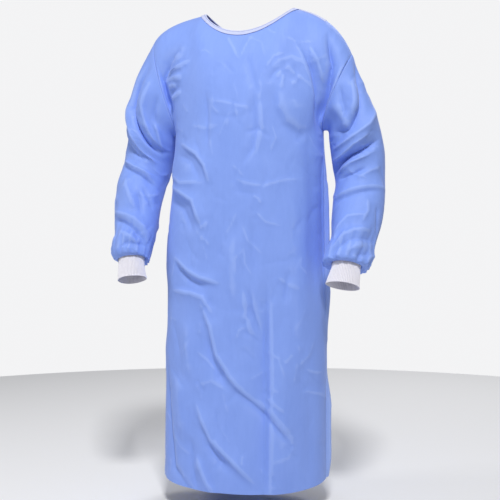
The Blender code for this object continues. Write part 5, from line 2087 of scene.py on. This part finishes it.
    def dress(self, tab_finish: bpy.types.Material, tie_finish: bpy.types.Material) -> None:
        """Builds the tab, ties, free ends and knot, and reports what the tab, ties and free ends measure.

        Args:
            tab_finish: the tab's material.
            tie_finish: the ties' material.
        """
        tab = self.tab()
        placed = tab.build(tab_finish, NeckTrim.tape_maps(tab))
        dress(placed, "neck_tab")
        declare("neck_tab", "laid", tab)
        ties = (("tie_left", self.band("waist_tie_left", self.tie_start)),
                ("tie_right", self.band("waist_tie_right", -self.tie_start)),
                ("tie_tail_left", self.tail("waist_end_left", *self.tails[0])),
                ("tie_tail_right", self.tail("waist_end_right", *self.tails[1])))
        for node, piece in ties:
            placed = piece.lean().build(tie_finish, NeckTrim.tape_maps(piece))
            dress(placed, node)
            declare(node, "laid", piece)
        dress(self.knot(tie_finish), "tie_knot")


@dataclass
class Studio:
    """The pale floor, the soft lights and the camera at the photo's angle."""

    floor_height: float = -1.30
    floor_radius: float = 2.6
    lens: float = 62.6
    azimuth: float = 15.0
    distance: float = 2.3
    target: tuple[float, float, float] = (0.0, -0.026, -0.6355)
    shift_right: float = 0.005
    room: Colour = (0.95, 0.96, 1.0)
    room_strength: float = 0.23
    wall: Colour = (0.90, 0.90, 0.91)
    lights: tuple[tuple[str, tuple[float, float, float], float, float], ...] = (
        ("key_light", (0.85, -2.6, 2.5), 0.6, 130.0), ("side_light", (-3.0, -1.3, 0.6), 0.9, 26.0),
        ("back_light", (0.6, 2.8, 1.6), 1.6, 44.0))

    def floor(self) -> None:
        """Lays the floor."""
        bm = bmesh.new()
        bmesh.ops.create_circle(bm, cap_ends=True, segments=96, radius=self.floor_radius)
        bmesh.ops.translate(bm, verts=bm.verts, vec=(0.0, 0.0, self.floor_height))
        place_mesh("studio_floor", bm, PaleFloor().make())

    def light(self, name: str, place: tuple[float, float, float], size: float, power: float) -> None:
        """Hangs a square soft light that points at the gown's middle.

        Args:
            name: its name.
            place: where it hangs.
            size: its side.
            power: its power in watts.
        """
        data = bpy.data.lights.new(name, "AREA")
        data.shape = "SQUARE"
        data.size = size
        data.energy = power
        lamp = bpy.data.objects.new(name, data)
        lamp.location = place
        way = Vector(self.target) - Vector(place)
        lamp.rotation_euler = way.to_track_quat("-Z", "Y").to_euler()
        bpy.context.scene.collection.objects.link(lamp)

    def camera(self) -> None:
        """Sets the camera at the photo's angle."""
        turn = math.radians(self.azimuth)
        right = Vector((math.cos(turn), math.sin(turn), 0.0))
        data = bpy.data.cameras.new("photo_camera")
        data.lens = self.lens
        data.sensor_width = 36.0
        camera = bpy.data.objects.new("photo_camera", data)
        aim = Vector(self.target) + right * self.shift_right
        camera.location = aim + Vector((math.sin(turn), -math.cos(turn), 0.0)) * self.distance
        camera.rotation_euler = (math.pi / 2.0, 0.0, turn)
        bpy.context.scene.collection.objects.link(camera)
        bpy.context.scene.camera = camera

    def surroundings(self) -> bpy.types.World:
        """A pale wall behind the gown, and a dimmer room that lights it from all sides.

        Returns:
            The world.
        """
        world = bpy.data.worlds.new("studio")
        world.use_nodes = True
        tree = world.node_tree
        room = tree.nodes["Background"]
        room.inputs["Color"].default_value = (*self.room, 1.0)
        room.inputs["Strength"].default_value = self.room_strength
        wall = tree.nodes.new("ShaderNodeBackground")
        wall.inputs["Color"].default_value = (*self.wall, 1.0)
        ray = tree.nodes.new("ShaderNodeLightPath")
        seen = tree.nodes.new("ShaderNodeMixShader")
        tree.links.new(ray.outputs["Is Camera Ray"], seen.inputs[0])
        tree.links.new(room.outputs[0], seen.inputs[1])
        tree.links.new(wall.outputs[0], seen.inputs[2])
        tree.links.new(seen.outputs[0], tree.nodes["World Output"].inputs["Surface"])
        return world

    def set_up(self) -> None:
        """Sets up floor, surroundings, lights and camera."""
        scene = bpy.context.scene
        scene.view_settings.view_transform = "Standard"
        scene.world = self.surroundings()
        self.floor()
        for name, place, size, power in self.lights:
            self.light(name, place, size, power)
        self.camera()


def dress_gown() -> None:
    """Builds the gown's pieces in order."""
    blue = (0.262, 0.398, 0.905)
    blue_shade = (0.196, 0.316, 0.790)
    # A paler copy of the blue for the back panels and ties: painted light, standing in for light coming
    # through the thin single-layer cloth.
    backlit_pale_blue = (0.335, 0.475, 0.925)
    backlit_pale_shade = (0.262, 0.392, 0.840)
    thread = (0.560, 0.660, 0.960)
    white = (0.600, 0.640, 0.890)
    front_finish = NonWoven("front_cloth", blue, blue_shade, thread, edge_lines=(0.0036, 0.0068)).make()
    back_finish = NonWoven("back_cloth", backlit_pale_blue, backlit_pale_shade, thread, edge_lines=(0.0036, 0.0068)).make()
    sleeve_finish = NonWoven("sleeve_cloth", blue, blue_shade, thread).make()
    tie_finish = Tape("tie_cloth", backlit_pale_blue, backlit_pale_shade, (0.20, 0.33, 0.74), rib_pitch=0.0021).make()
    binding_finish = Tape("binding", white, (0.48, 0.54, 0.82), (0.14, 0.20, 0.50), stitch_line=0.0104,
                          stitch_length=0.0048, strength=0.9).make()
    knit_finish = RibKnit("rib_knit", (0.860, 0.840, 0.890), (0.610, 0.600, 0.700)).make()
    tab_finish = HookTab("hook_tab", (0.800, 0.815, 0.900), (0.560, 0.590, 0.740), (0.42, 0.47, 0.66)).make()

    body = Body(BodyForm())
    front = body.front()
    backs = (body.back(Side.LEFT), body.back(Side.RIGHT))
    last_column = front.points.shape[1] - 1
    sleeves = (Sleeve(Side.LEFT), Sleeve(Side.RIGHT))
    arms = (sleeves[0].cloth(armhole_loop(front, backs[0], 0)),
            sleeves[1].cloth(armhole_loop(front, backs[1], last_column)).mirror())
    seams = Seams()
    seams.join_side(front, backs[0], arms[0], 0, 1)
    seams.join_side(front, backs[1], arms[1], last_column, -1)
    ties = BackTies(body, backs)
    NeckTrim(front, backs).dress(binding_finish)
    ties.dress(tab_finish, tie_finish)
    body.dress(front, backs, front_finish, back_finish)
    for sleeve, arm in zip(sleeves, arms):
        sleeve.dress(arm, sleeve_finish)
    for side in Side:
        Cuff(side).dress(knit_finish)


def main() -> None:
    """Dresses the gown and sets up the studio."""
    logging.basicConfig(level=logging.INFO, format="%(name)s: %(message)s")
    dress_gown()
    Studio().set_up()


if __name__ == "__main__":
    main()
